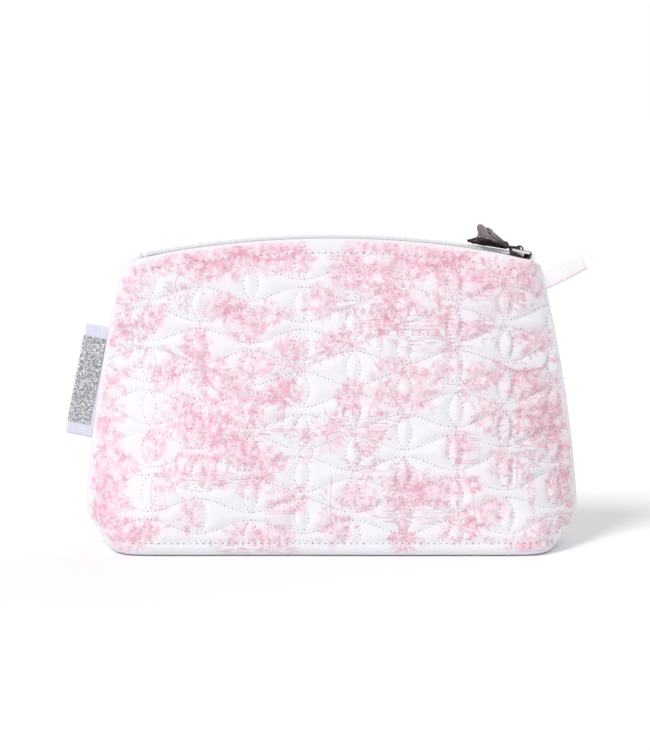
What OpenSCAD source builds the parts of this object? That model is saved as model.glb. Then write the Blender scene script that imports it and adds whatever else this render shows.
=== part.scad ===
// Quilted cotton makeup bag with an arched zip, a butterfly pull, a ribbon side label and a hanging loop.
// Millimetres. +X is right, +Y is back, +Z is up. The origin is the middle of the base, on the floor.
// The front and back halves turn outwards about the long edges of the base when the zip is open.

/* [Body] */
// Length of the base along the front of the bag
base_w = 214; // [178:1:258]
// Depth of the base from front to back
base_d = 70; // [58:1:84]
// How far each side swells out past the base
belly_out = 11.5; // [7:0.5:14]
// Height at which the bag is widest
belly_z = 20; // [16:0.5:26]
// Length of the mouth from corner to corner
mouth_w = 199; // [165:1:240]
// Height of the fabric edge in the middle of the mouth
panel_h = 148; // [122:1:180]
// Depth of the mouth from fabric edge to fabric edge
mouth_d = 18; // [17:0.5:22]
// Radius of the arch that the zip follows
arch_r = 470; // [390:5:570]
// How far the mouth's corners droop below the arch
corner_drop = 2.3; // [0:0.1:4]
// How far the front and back bulge past a straight line from base to mouth
panel_bow = 4; // [0:0.5:6]
// How far the side edges bow past a straight line
side_bow = 2.6; // [0:0.2:4]

/* [Quilted wall] */
// Thickness of the printed cotton
outer_t = 0.6; // [0.4:0.05:0.8]
// Thickness of the wadding
wadding_t = 2.3; // [1.8:0.1:2.8]
// Thickness of the lining cotton
lining_t = 0.5; // [0.4:0.05:0.6]
// Space between one layer and the next
layer_gap = 0.1; // [0.05:0.01:0.15]

/* [Stitching] */
// Distance from one stitch to the next
stitch_pitch = 3; // [2.4:0.1:3.6]
// Thickness of the thread
thread_d = 0.36; // [0.3:0.02:0.44]
// Distance of the upper line of stitches below the mouth's edge
top_stitch_drop = 6.5; // [5.5:0.1:7.8]
// Height of the lower line of stitches above the floor
bottom_stitch_z = 6.5; // [5.5:0.1:8]

/* [Zip] */
// Distance from one coil element to the next
coil_pitch = 1.5; // [1.3:0.05:1.8]
// Height of the coil
coil_h = 2; // [1.8:0.05:2.4]
// Width of one side's coil
coil_w = 4; // [3.8:0.1:4.2]
// Thickness of the zip tape
tape_t = 0.6; // [0.5:0.05:0.7]
// Length of the slider
slider_l = 11; // [9.2:0.1:11.6]
// Width of the slider at its nose
slider_w = 9.5; // [9.3:0.1:9.9]
// Thickness of each of the slider's plates
plate_t = 1; // [0.8:0.05:1.2]
// Space from the middle of the slider to the mouth's corner when the zip is closed
closed_gap = 10; // [9.5:0.1:14]
// Space from the middle of the slider to the mouth's corner when the zip is open
open_gap = 18.5; // [17:0.5:24]

/* [Pull] */
// Length of the butterfly
butterfly_l = 19.5; // [16.5:0.5:23]
// Thickness of its wings
wing_t = 1; // [0.8:0.05:1.2]
// Angle that each wing is bent up from flat
wing_lift = 40; // [30:1:45]
// Angle that the butterfly is rolled back
pull_roll = 18; // [0:1:20]
// Angle that the butterfly dips to rest on the coil
pull_dip = 1.5; // [0:0.5:2]

/* [Label and loop] */
// Length of the label along the side seam
label_l = 54; // [42:1:64]
// How far the label stands out of the seam
label_out = 11.4; // [9:0.1:14]
// Height of the label's middle
label_z = 78; // [66:1:92]
// Lean of the label from the line of the side seam
label_lean = 2.1; // [0:0.1:3]
// Length of the glitter patch on the label
glitter_l = 42; // [34:1:50]
// Length of the hanging loop
loop_l = 24; // [20:0.5:28]
// Width of the hanging loop's band
loop_w = 7; // [5.5:0.5:8]
// Height of the middle of the loop's root
loop_z = 125; // [100:1:127]
// Angle of the loop above level
loop_rise = 27; // [15:1:35]

/* [Hidden] */
$fn = 32;

FRONT = -1;
BACK = 1;

// Shape of the cross-sections: |x/w| to this power gives the fall from the middle to the side seam.
// The base and the mouth are nearly rectangular, and the body between them is a pointed oval.
lens_power = 2.8;
base_power = 24;
base_power_fade = 0.1;
mouth_power = 27;
mouth_power_rise = 14;
// The foot is the rounded turn from the base into the front and back.
foot_z = 6;
foot_in = 3;
corner_power = 12;
shell_cols = 24;
// Half of the space between the front and back halves at the side seams
seam_gap = 0.5;
joint_gap = 0.3;
touch_gap = 0.04;

arch_z = panel_h - arch_r;
half_mouth = mouth_w / 2;
wadding_in = outer_t + layer_gap;
lining_in = wadding_in + wadding_t + layer_gap;
wall_t = lining_in + lining_t;
panel_z0 = outer_t + joint_gap;
// The quilted filling stops below the zip's stitches, and the lining runs up to just below the slider.
wadding_z1 = panel_h - 9;
lining_z1 = panel_h - 4.5;

stitch_l = stitch_pitch * 0.72;
stitch_reach = 0.9;

// Radii of the zip's layers from the centre of the arch
coil_rise = 0.2;
coil_r = arch_r + coil_rise;
tape_top_r = coil_r - coil_h / 2 - 0.2;
tape_exposed = mouth_d / 2 - outer_t - 0.7;
tape_hidden = 6;
tape_lean = 1.5;
tape_middle_gap = 0.3;
// How far short of the mouth's corners the tape's folded, full and narrowed stretches end
tape_fold_in = 22;
tape_full_in = 11;
tape_end_in = 4.5;
tape_end_share = 0.66;
coil_element_t = 0.62;
coil_cord_d = 0.9;
coil_lap = 0.9;

function arch_angle(x) = asin(x / coil_r);
slider_angle = arch_angle(half_mouth - closed_gap);
open_angle = -arch_angle(half_mouth - open_gap);
zip_start = -(half_mouth - open_gap + slider_l / 2 + 2.2);

// Heights in the slider, from the middle of the coil
channel_up = coil_h / 2 + 0.3;
channel_down = -(coil_h / 2 + 0.2 + tape_t + 0.7);
slider_tail_w = slider_w * 0.84;
flange_y = coil_w - coil_lap + 0.15;
flange_t = slider_tail_w / 2 - flange_y;
tape_slot_up = -(coil_h / 2 - 0.2);
tape_slot_down = channel_down + 0.3;
post_x = slider_l * 0.2;
post_l = slider_l * 0.27;
post_w = 2.4;
post_gap = 0.6;
bridge_w = 1.6;
bridge_r = 2.1;
bridge_hole_r = 1.35;
pivot_d = 1;
pivot_x = -0.5;
pivot_z = channel_up + plate_t + 0.75;
// The butterfly hangs below its eye, so that its body lies just above the coil.
pull_body_r = 0.9;
pull_step = pivot_z - (coil_h / 2 + pull_body_r + 0.3);

// ---- Shape of the bag --------------------------------------------------------------------------

function mix(a, b, t) = a + (b - a) * t;

// Height of the mouth's edge at the width fraction u
function edge_z(u) =
    arch_z + sqrt(pow(arch_r, 2) - pow(u * half_mouth, 2)) - corner_drop * pow(abs(u), corner_power);

seam_h = edge_z(1);

// Half the length of the cross-section at the height fraction v
function half_w(v) =
    let (z = v * seam_h, s = (z - belly_z) / (seam_h - belly_z))
    z < belly_z
        ? base_w / 2 + belly_out * (1 - pow(1 - z / belly_z, 2))
        : mix(base_w / 2 + belly_out, half_mouth, s) + side_bow * 4 * s * (1 - s);

// Half the depth of the cross-section at the height fraction v
function half_d(v) =
    let (z = v * panel_h, s = (z - foot_z) / (panel_h - foot_z))
    z < foot_z
        ? base_d / 2 - foot_in * pow(1 - z / foot_z, 2)
        : mix(base_d / 2, mouth_d / 2, s) + panel_bow * 4 * s * (1 - s);

function squareness(v) =
    lens_power + base_power * exp(-v / base_power_fade) + mouth_power * pow(v, mouth_power_rise);

// A point of the wall, inset from its outer face. The tip moves in further where the section is pointed.
function wall_point(u, v, inset, side) =
    let (
        w = half_w(v),
        d = half_d(v),
        n = squareness(v),
        tip = inset * sqrt(1 + pow(w / (d * n), 2))
    )
    [
        (w - tip) * u,
        side * (seam_gap + (d - inset - seam_gap) * (1 - pow(abs(u), n))),
        v * edge_z(u)
    ];

// Columns crowd towards the seams.
function column(i) = sin(90 * (2 * i / shell_cols - 1));

// The layers share one set of rows, so that they stay parallel. The wadding ends at the last but two
// row, the lining at the last but one and the printed cotton at the last.
wadding_rows = 10;
lining_rows = wadding_rows + 1;
outer_rows = wadding_rows + 2;
row_heights = concat(
    [for (k = [0:wadding_rows]) mix(panel_z0, wadding_z1, (1 - cos(180 * k / wadding_rows)) / 2)],
    [lining_z1, panel_h]
);

// One layer of a half: the wall between two insets, from its lower edge up through a number of rows
module wall_layer(side, inset, t, rows) {
    cols = shell_cols + 1;
    face_points = cols * (rows + 1);
    points = [
        for (depth = [inset, inset + t], k = [0:rows], i = [0:shell_cols])
            wall_point(column(i), row_heights[k] / panel_h, depth, side)
    ];
    function at(face, k, i) = face * face_points + k * cols + i;
    skin = [
        for (k = [0:rows - 1], i = [0:shell_cols - 1]) each [
            [at(0, k, i), at(0, k + 1, i), at(0, k + 1, i + 1)],
            [at(0, k, i), at(0, k + 1, i + 1), at(0, k, i + 1)],
            [at(1, k, i), at(1, k + 1, i + 1), at(1, k + 1, i)],
            [at(1, k, i), at(1, k, i + 1), at(1, k + 1, i + 1)]
        ]
    ];
    hems = [
        for (i = [0:shell_cols - 1]) each [
            [at(0, 0, i), at(0, 0, i + 1), at(1, 0, i + 1)],
            [at(0, 0, i), at(1, 0, i + 1), at(1, 0, i)],
            [at(0, rows, i), at(1, rows, i), at(1, rows, i + 1)],
            [at(0, rows, i), at(1, rows, i + 1), at(0, rows, i + 1)]
        ]
    ];
    ends = [
        for (k = [0:rows - 1]) each [
            [at(0, k, 0), at(1, k, 0), at(1, k + 1, 0)],
            [at(0, k, 0), at(1, k + 1, 0), at(0, k + 1, 0)],
            [at(0, k, shell_cols), at(1, k + 1, shell_cols), at(1, k, shell_cols)],
            [at(0, k, shell_cols), at(0, k + 1, shell_cols), at(1, k + 1, shell_cols)]
        ]
    ];
    triangles = concat(skin, hems, ends);
    turned = [for (t = triangles) [t[0], t[2], t[1]]];
    polyhedron(points, side == FRONT ? triangles : turned);
}

// ---- Base --------------------------------------------------------------------------------------

module base_layer(inset, z, t) {
    front_edge = [for (i = [0:shell_cols]) wall_point(column(i), 0, inset, FRONT)];
    back_edge = [for (i = [shell_cols:-1:0]) wall_point(column(i), 0, inset, BACK)];
    translate([0, 0, z])
        linear_extrude(t)
            polygon([for (p = concat(front_edge, back_edge)) [p[0], p[1]]]);
}

module base_outer() {
    color("pink") base_layer(0, 0, outer_t);
}

module base_wadding() {
    color("white") base_layer(wall_t + 2 * joint_gap, wadding_in, wadding_t);
}

module base_lining() {
    color("mistyrose") base_layer(wall_t + 2 * joint_gap, lining_in, lining_t);
}

// ---- Side seams, label and loop ----------------------------------------------------------------

seam_allowance = 6;
seam_edge_in = 0.4;
seam_end_drop = 6;
binding_t = 0.2;
binding_rows = 12;
seam_z0 = lining_in + lining_t + joint_gap;
ribbon_t = 0.2;
ribbon_y = binding_t / 2 + touch_gap;
root_depth = 3;
glitter_t = 0.16;

function seam_x(z) = half_w(z / seam_h);

// The tape that binds the raw edges of the two halves, standing in from the seam
module seam_binding(side) {
    heights = [for (k = [0:binding_rows]) mix(seam_z0, seam_h - seam_end_drop, k / binding_rows)];
    outline = concat(
        [for (z = heights) [side * (seam_x(z) - seam_edge_in), z]],
        [for (k = [binding_rows:-1:0])
            [side * (seam_x(heights[k]) - seam_edge_in - seam_allowance), heights[k]]]
    );
    translate([0, binding_t / 2, 0])
        rotate([90, 0, 0])
            linear_extrude(binding_t)
                polygon(outline);
}

module left_seam_binding() {
    color("white") seam_binding(-1);
}

module right_seam_binding() {
    color("white") seam_binding(1);
}

module at_label() {
    seam_lean = atan((seam_x(label_z - 1) - seam_x(label_z + 1)) / 2);
    translate([-seam_x(label_z), 0, label_z])
        rotate([0, seam_lean + label_lean, 0])
            children();
}

// Half of a ribbon folded flat, open towards the bag: two layers joined by a round fold at the far end
module folded_band(inner_y, t, x_fold, x_root) {
    outer_r = inner_y + t;
    difference() {
        union() {
            translate([x_fold + outer_r, 0]) circle(outer_r);
            translate([x_fold + outer_r, -outer_r]) square([x_root - x_fold - outer_r, 2 * outer_r]);
        }
        translate([x_fold + outer_r, 0]) circle(inner_y);
        translate([x_fold + outer_r, -inner_y]) square([x_root - x_fold, 2 * inner_y]);
    }
}

module side_label() {
    color("lavender")
        at_label()
            linear_extrude(label_l, center = true)
                folded_band(ribbon_y, ribbon_t, -label_out, root_depth);
}

module label_glitter() {
    glitter_y = ribbon_y + ribbon_t + touch_gap;
    fold_x = -label_out - touch_gap - glitter_t;
    color("silver")
        at_label()
            linear_extrude(glitter_l, center = true)
                folded_band(glitter_y, glitter_t, fold_x, -0.8);
}

// The loop's band leaves the seam flat, opens a little and comes back round its fold.
loop_t = 0.26;
loop_open = 1.5;
loop_steps = 12;

function loop_y(s) =
    ribbon_y + loop_t / 2 + loop_open * pow(sin(180 * max(0, s - root_depth) / (loop_l - root_depth)), 2);

module hanging_loop() {
    far = loop_l - ribbon_y - loop_t;
    steps = [for (k = [0:loop_steps]) far * k / loop_steps];
    module filled_to(grow) {
        fold_r = loop_y(far) + grow;
        round_end = [for (a = [75:-15:-75]) [far + fold_r * cos(a), fold_r * sin(a)]];
        polygon(concat(
            [for (s = steps) [s, loop_y(s) + grow]],
            round_end,
            [for (k = [loop_steps:-1:0]) [steps[k], -loop_y(steps[k]) - grow]]
        ));
    }
    color("seashell")
        translate([seam_x(loop_z) - root_depth, 0, loop_z])
            rotate([90, -loop_rise, 0])
                rotate([-90, 0, 0])
                    linear_extrude(loop_w, center = true)
                        difference() {
                            filled_to(loop_t / 2);
                            filled_to(-loop_t / 2);
                        }
}

// ---- Stitching ---------------------------------------------------------------------------------

module rod(a, b, d) {
    v = b - a;
    translate(a)
        rotate([0, acos(v[2] / norm(v)), atan2(v[1], v[0])])
            cylinder(h = norm(v), d = d, $fn = 16);
}

// A line of separate stitches that lie on the outer face, at the height z(u)
module stitch_line(side, v_of_u) {
    run = stitch_reach * half_mouth;
    count = floor(run / stitch_pitch);
    inset = -(thread_d / 2 + 0.07);
    for (i = [-count:count]) {
        x0 = i * stitch_pitch - stitch_l / 2;
        u0 = x0 / half_w(v_of_u(0));
        u1 = (x0 + stitch_l) / half_w(v_of_u(0));
        rod(wall_point(u0, v_of_u(u0), inset, side), wall_point(u1, v_of_u(u1), inset, side), thread_d);
    }
}

top_stitch_v = function (u) (edge_z(u) - top_stitch_drop) / edge_z(u);
bottom_stitch_v = function (u) bottom_stitch_z / edge_z(u);

// ---- Zip ---------------------------------------------------------------------------------------

// Puts a piece on the arch, with its own z pointing away from the arch's centre
module on_arch(angle, r = coil_r) {
    translate([0, 0, arch_z])
        rotate([0, angle, 0])
            translate([0, 0, r])
                children();
}

// Turns a profile of [y, radius] points along the arch between two x positions
module arch_sweep(profile, x0, x1) {
    a0 = arch_angle(x0);
    a1 = arch_angle(x1);
    translate([0, 0, arch_z])
        rotate([-90, 0, 0])
            rotate([0, 0, a0 - 90])
                rotate_extrude(angle = a1 - a0, $fn = 720)
                    polygon([for (p = profile) [p[1], p[0]]]);
}

// The tape lies flat beside the coil, then turns down between the printed cotton and the lining.
// It narrows into the corners of the mouth, and past the slider the two tapes part round its post.
module zip_tape(side) {
    top = tape_top_r;
    low = tape_top_r - tape_hidden;
    y0 = side * tape_middle_gap;
    y1 = side * tape_exposed;
    y2 = side * (tape_exposed + tape_lean);
    end_x = half_mouth - tape_end_in;
    far = tape_exposed + tape_lean + 1;
    difference() {
        arch_sweep(
            [[y0, top], [y1, top], [y2, low], [y2 - side * tape_t, low],
             [y1 - side * tape_t, top - tape_t], [y0, top - tape_t]],
            -end_x, end_x
        );
        for (end = [-1, 1]) {
            fold_x = half_mouth - tape_fold_in;
            under = top - tape_t - touch_gap;
            arch_sweep(
                [[0, low - 1], [side * far, low - 1], [side * far, under], [0, under]],
                min(end * fold_x, end * half_mouth), max(end * fold_x, end * half_mouth)
            );
            on_arch(end * arch_angle(half_mouth - tape_full_in))
                translate([end * far, side * (tape_exposed * tape_end_share + far / 2), 0])
                    cube([2 * far, far, 2 * far], center = true);
        }
        on_arch(slider_angle)
            translate([post_x - post_gap, -(post_w / 2 + post_gap), channel_down])
                cube([half_mouth, post_w + 2 * post_gap, channel_up - channel_down]);
    }
}

// The coil's elements hook past the middle, half a pitch from those of the other side, on one core cord.
module zip_coil(side) {
    step = coil_pitch / coil_r * 180 / PI;
    first = arch_angle(zip_start) + (side == FRONT ? 0 : step / 2);
    count = floor((slider_angle - first) / step);
    y0 = side == FRONT ? -(coil_w - coil_lap) : -coil_lap;
    for (i = [0:count])
        on_arch(first + i * step)
            translate([-coil_element_t / 2, y0, -coil_h / 2])
                cube([coil_element_t, coil_w, coil_h]);
    cord_y = side * (coil_w - coil_lap - 1);
    half = coil_cord_d / 2;
    arch_sweep(
        [[cord_y - half, coil_r - half], [cord_y + half, coil_r - half],
         [cord_y + half, coil_r + half], [cord_y - half, coil_r + half]],
        zip_start - 0.5, coil_r * sin(first + count * step)
    );
}

stop_l = 1.2;
stop_w = 1.9;

module zip_top_stops() {
    color("silver")
        on_arch(slider_angle)
            for (side = [FRONT, BACK])
                translate([slider_l / 2 + joint_gap + stop_l / 2, side * 2.9, 0.1])
                    cube([stop_l, stop_w, coil_h + 0.2], center = true);
}

module zip_bottom_stop() {
    color("silver")
        on_arch(arch_angle(zip_start) - 0.2)
            translate([-1, 0, 0])
                cube([1.8, 2 * (coil_w - coil_lap), coil_h], center = true);
}

// A slider plate: tapered to the tail, with its ends rounded
module slider_plate(z) {
    translate([0, 0, z])
        linear_extrude(plate_t)
            intersection() {
                polygon([
                    [-slider_l / 2, -slider_tail_w / 2], [slider_l / 2, -slider_w / 2],
                    [slider_l / 2, slider_w / 2], [-slider_l / 2, slider_tail_w / 2]
                ]);
                circle(slider_l / 2 + 0.7);
            }
}

module slider_flanges(z0, z1) {
    for (side = [FRONT, BACK])
        translate([-slider_l / 2 + 0.6, side * (flange_y + flange_t / 2) - flange_t / 2, z0])
            cube([slider_l * 0.62, flange_t, z1 - z0]);
}

module slider_body() {
    color("dimgray")
        on_arch(slider_angle) {
            slider_plate(channel_up);
            slider_plate(channel_down - plate_t);
            slider_flanges(tape_slot_up, channel_up);
            slider_flanges(channel_down, tape_slot_down);
            translate([post_x, 0, channel_down])
                linear_extrude(channel_up - channel_down)
                    polygon([[0, 0], [post_l * 0.5, -post_w / 2], [post_l, -post_w / 2],
                             [post_l, post_w / 2], [post_l * 0.5, post_w / 2]]);
            translate([pivot_x, bridge_w / 2, channel_up + plate_t])
                rotate([90, 0, 0])
                    linear_extrude(bridge_w)
                        intersection() {
                            difference() {
                                circle(bridge_r);
                                circle(bridge_hole_r);
                            }
                            translate([-bridge_r, 0]) square([2 * bridge_r, bridge_r]);
                        }
        }
}

// ---- Butterfly pull ----------------------------------------------------------------------------

// One wing, with its root along +X and its width along +Y: a hind lobe by the eye, then a fore lobe
// that runs into the pointed head
module wing() {
    k = butterfly_l / 19.5;
    linear_extrude(wing_t, center = true) {
        polygon(k * [
            [0, 0], [0, 3], [2.6, 3.5], [4.6, 4.2], [6.2, 5.9], [7.6, 7.4], [9, 8.8], [10.4, 9.1],
            [11.6, 8.9], [11.6, 0]
        ]);
        polygon(k * [
            [10.6, 0], [10.6, 8], [12, 9.4], [13.4, 10.3], [14.8, 10.2], [15.8, 9], [16, 7], [15.3, 5],
            [15.2, 3.4], [17, 2.4], [19.4, 0.8], [19.4, 0]
        ]);
    }
}

module butterfly_pull() {
    k = butterfly_l / 19.5;
    arm_y = bridge_w / 2 + 0.7;
    arm_t = 0.8;
    neck = slider_l / 2 + pivot_x + 0.3;
    color("gray")
        on_arch(slider_angle)
            translate([pivot_x, 0, pivot_z])
                rotate([0, -pull_dip, 0]) {
                    rotate([90, 0, 0]) cylinder(h = 2 * (arm_y + arm_t), d = pivot_d, center = true);
                    for (side = [FRONT, BACK])
                        translate([-neck, side * (arm_y + arm_t / 2) - arm_t / 2, -arm_t / 2])
                            cube([neck, arm_t, arm_t]);
                    translate([-neck - 0.9, -(arm_y + arm_t), -pull_step])
                        cube([1, 2 * (arm_y + arm_t), pull_step + arm_t / 2]);
                    translate([-neck - 0.4, 0, -pull_step])
                        rotate([pull_roll, 0, 0])
                            mirror([1, 0, 0]) {
                                rotate([wing_lift, 0, 0]) wing();
                                rotate([-wing_lift, 0, 0]) mirror([0, 1, 0]) wing();
                                rotate([0, 90, 0]) cylinder(h = 17 * k, r = pull_body_r);
                                translate([17, 0, 0] * k) sphere(pull_body_r);
                            }
                }
}

// ---- The two halves ----------------------------------------------------------------------------

module outer_panel(side) {
    wall_layer(side, 0, outer_t, outer_rows);
}

module wadding_panel(side) {
    wall_layer(side, wadding_in, wadding_t, wadding_rows);
}

module lining_panel(side) {
    wall_layer(side, lining_in, lining_t, lining_rows);
}

module front_outer() {
    color("lightpink") outer_panel(FRONT);
}

module front_wadding() {
    color("white") wadding_panel(FRONT);
}

module front_lining() {
    color("mistyrose") lining_panel(FRONT);
}

module front_zip_tape() {
    color("ghostwhite") zip_tape(FRONT);
}

module front_zip_coil() {
    color("gainsboro") zip_coil(FRONT);
}

module front_top_stitching() {
    color("whitesmoke") stitch_line(FRONT, top_stitch_v);
}

module front_bottom_stitching() {
    color("whitesmoke") stitch_line(FRONT, bottom_stitch_v);
}

module back_outer() {
    color("lightpink") outer_panel(BACK);
}

module back_wadding() {
    color("white") wadding_panel(BACK);
}

module back_lining() {
    color("mistyrose") lining_panel(BACK);
}

module back_zip_tape() {
    color("ghostwhite") zip_tape(BACK);
}

module back_zip_coil() {
    color("gainsboro") zip_coil(BACK);
}

module back_top_stitching() {
    color("whitesmoke") stitch_line(BACK, top_stitch_v);
}

module back_bottom_stitching() {
    color("whitesmoke") stitch_line(BACK, bottom_stitch_v);
}

base_outer();
base_wadding();
base_lining();
left_seam_binding();
right_seam_binding();
side_label();
label_glitter();
hanging_loop();
zip_top_stops();
zip_bottom_stop();
front_outer();
front_wadding();
front_lining();
front_zip_tape();
front_zip_coil();
front_top_stitching();
front_bottom_stitching();
back_outer();
back_wadding();
back_lining();
back_zip_tape();
back_zip_coil();
back_top_stitching();
back_bottom_stitching();
slider_body();
butterfly_pull();
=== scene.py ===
"""Quilted cotton makeup bag: its visible surfaces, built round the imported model.

Lengths are in metres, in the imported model's own frame: +X right, +Y back, +Z up, with the origin in the
middle of the base's underside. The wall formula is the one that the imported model's own source holds, so each
piece lies where its solid does.
"""

import math
import random

import bmesh
import bpy
import numpy as np
from mathutils import Matrix, Vector


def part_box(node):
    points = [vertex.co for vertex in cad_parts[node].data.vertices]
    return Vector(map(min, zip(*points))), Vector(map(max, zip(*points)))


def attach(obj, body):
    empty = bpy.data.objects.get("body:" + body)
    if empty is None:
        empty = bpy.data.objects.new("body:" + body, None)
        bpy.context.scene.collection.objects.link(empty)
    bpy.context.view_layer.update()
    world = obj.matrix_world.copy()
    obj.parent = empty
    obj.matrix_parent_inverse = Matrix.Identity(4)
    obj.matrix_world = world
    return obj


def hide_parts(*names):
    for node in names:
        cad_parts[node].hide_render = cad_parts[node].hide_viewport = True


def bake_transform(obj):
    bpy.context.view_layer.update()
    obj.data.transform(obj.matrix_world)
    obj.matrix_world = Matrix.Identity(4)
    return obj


bl_info = {
    "name": "Quilted Makeup Bag",
    "version": (1, 0, 0),
    "blender": (4, 5, 0),
    "location": "View3D > Sidebar > Makeup Bag",
    "description": "Builds a quilted cotton makeup bag with a zip, a butterfly pull, a ribbon label and a loop",
    "category": "Mesh",
}

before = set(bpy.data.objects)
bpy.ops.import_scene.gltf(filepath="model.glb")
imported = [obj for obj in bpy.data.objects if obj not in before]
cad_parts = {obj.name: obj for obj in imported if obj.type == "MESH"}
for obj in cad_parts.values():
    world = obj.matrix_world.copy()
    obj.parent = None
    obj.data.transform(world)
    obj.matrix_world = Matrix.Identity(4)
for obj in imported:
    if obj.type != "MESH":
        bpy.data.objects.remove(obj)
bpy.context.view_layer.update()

MM = 0.001
FRONT = -1
BACK = 1
HALVES = {"front": FRONT, "back": BACK}

# ---- Shape of the bag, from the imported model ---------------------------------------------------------

FOOT_IN = 3 * MM
FOOT_Z = 6 * MM
HALF_BASE_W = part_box("base_outer")[1].x
HALF_BASE_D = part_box("base_outer")[1].y + FOOT_IN
BELLY_OUT = 11.5 * MM
HALF_BELLY_W = HALF_BASE_W + BELLY_OUT
BELLY_Z = 20 * MM
HALF_MOUTH = 99.5 * MM
PANEL_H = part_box("front_outer")[1].z
HALF_MOUTH_D = 9 * MM
ARCH_R = 470 * MM
ARCH_Z = PANEL_H - ARCH_R
CORNER_DROP = 2.3 * MM
CORNER_POWER = 12
PANEL_BOW = 4 * MM
SIDE_BOW = 2.6 * MM
SEAM_GAP = 0.4 * MM
SEAM_KEEP = 0.985
LENS_POWER = 2.8
BASE_POWER = 24
BASE_POWER_FADE = 0.1
MOUTH_POWER = 27
MOUTH_POWER_RISE = 14

COIL_R = ARCH_R + 0.2 * MM
COIL_H = 2 * MM
COIL_W = 4 * MM
COIL_LAP = 0.9 * MM
COIL_PITCH = 1.5 * MM
TAPE_TOP_R = COIL_R - COIL_H / 2 - 0.2 * MM
TAPE_T = 0.5 * MM
TAPE_SHOWN = 7.7 * MM
TAPE_HIDDEN = 6 * MM
TAPE_LEAN = 1.5 * MM
SLIDER_X = HALF_MOUTH - 10 * MM
ZIP_START_X = -88.7 * MM
SLIDER_L = 11 * MM
SLIDER_W = 9.5 * MM
PLATE_T = 1 * MM
PLATE_LOW = COIL_H / 2 + 0.3 * MM

LAYER_GAP = 0.1 * MM
LINING_IN = 3.1 * MM
LINING_T = 0.5 * MM
LINING_TOP = PANEL_H - 4.5 * MM
WADDING_TOP = PANEL_H - 9 * MM
HEM_T = 1.3 * MM
HEM_RAMP = 4 * MM
WEAVE_PITCH = 0.42 * MM
EDGE_STITCH = 3 * MM
TOP_STITCH_DROP = 6.5 * MM
BOTTOM_STITCH_Z = 6.5 * MM


def mix(a, b, t):
    return a + (b - a) * t


def smoothstep(t):
    t = np.clip(t, 0, 1)
    return t * t * (3 - 2 * t)


def wrap(value, period):
    """The signed distance to the nearest whole multiple of a period."""
    return value - period * np.round(value / period)


def edge_z(u):
    """Height of the mouth's edge at the width fraction u."""
    arch = ARCH_Z + np.sqrt(ARCH_R**2 - (u * HALF_MOUTH) ** 2)
    return arch - CORNER_DROP * np.abs(u) ** CORNER_POWER


SEAM_H = float(edge_z(1.0))


def half_w(v):
    """Half the length of the cross-section at the height fraction v."""
    z = v * SEAM_H
    s = (z - BELLY_Z) / (SEAM_H - BELLY_Z)
    low = HALF_BASE_W + BELLY_OUT * (1 - (1 - z / BELLY_Z) ** 2)
    high = mix(HALF_BELLY_W, HALF_MOUTH, s) + SIDE_BOW * 4 * s * (1 - s)
    return np.where(z < BELLY_Z, low, high)


def half_d(v):
    """Half the depth of the cross-section at the height fraction v."""
    z = v * PANEL_H
    s = (z - FOOT_Z) / (PANEL_H - FOOT_Z)
    low = HALF_BASE_D - FOOT_IN * (1 - z / FOOT_Z) ** 2
    high = mix(HALF_BASE_D, HALF_MOUTH_D, s) + PANEL_BOW * 4 * s * (1 - s)
    return np.where(z < FOOT_Z, low, high)


def squareness(v):
    return LENS_POWER + BASE_POWER * np.exp(-v / BASE_POWER_FADE) + MOUTH_POWER * v**MOUTH_POWER_RISE


def wall(u, v, inset, side):
    """Points of the wall, inset from its outer face."""
    w, d, n = half_w(v), half_d(v), squareness(v)
    tip = inset * np.sqrt(1 + (w / (d * n)) ** 2)
    y = SEAM_GAP + (d - inset - SEAM_GAP) * (1 - np.abs(u) ** n)
    return np.stack([(w - tip) * u, side * y, v * edge_z(u)], axis=-1)


def fractions(x, z):
    """The width and height fractions of the wall point seen at x and z from the front."""
    u = np.zeros_like(x)
    for _ in range(6):
        v = z / edge_z(u)
        u = np.clip(x / half_w(np.clip(v, 0, 1)), -1, 1)
    return u, np.clip(v, 0, 1)


def on_arch(x, radius, y=0.0):
    """A point over x on an arc about the centre of the zip's arch."""
    angle = np.arcsin(x / COIL_R)
    return np.stack([radius * np.sin(angle), y + 0 * angle, ARCH_Z + radius * np.cos(angle)], axis=-1)


def slider_frame():
    """The matrix that puts a piece on the slider's middle, at the coil's centre line."""
    turn = Matrix.Rotation(math.asin(SLIDER_X / COIL_R), 4, "Y")
    return Matrix.Translation((0, 0, ARCH_Z)) @ turn @ Matrix.Translation((0, 0, COIL_R))


# ---- What a user would change ------------------------------------------------------------------------


def length(name, description, default):
    return bpy.props.FloatProperty(
        name=name, description=description, default=default, min=0, subtype="DISTANCE", unit="LENGTH"
    )


def colour(name, description, default):
    return bpy.props.FloatVectorProperty(
        name=name, description=description, default=default, min=0, max=1, size=3, subtype="COLOR"
    )


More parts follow.
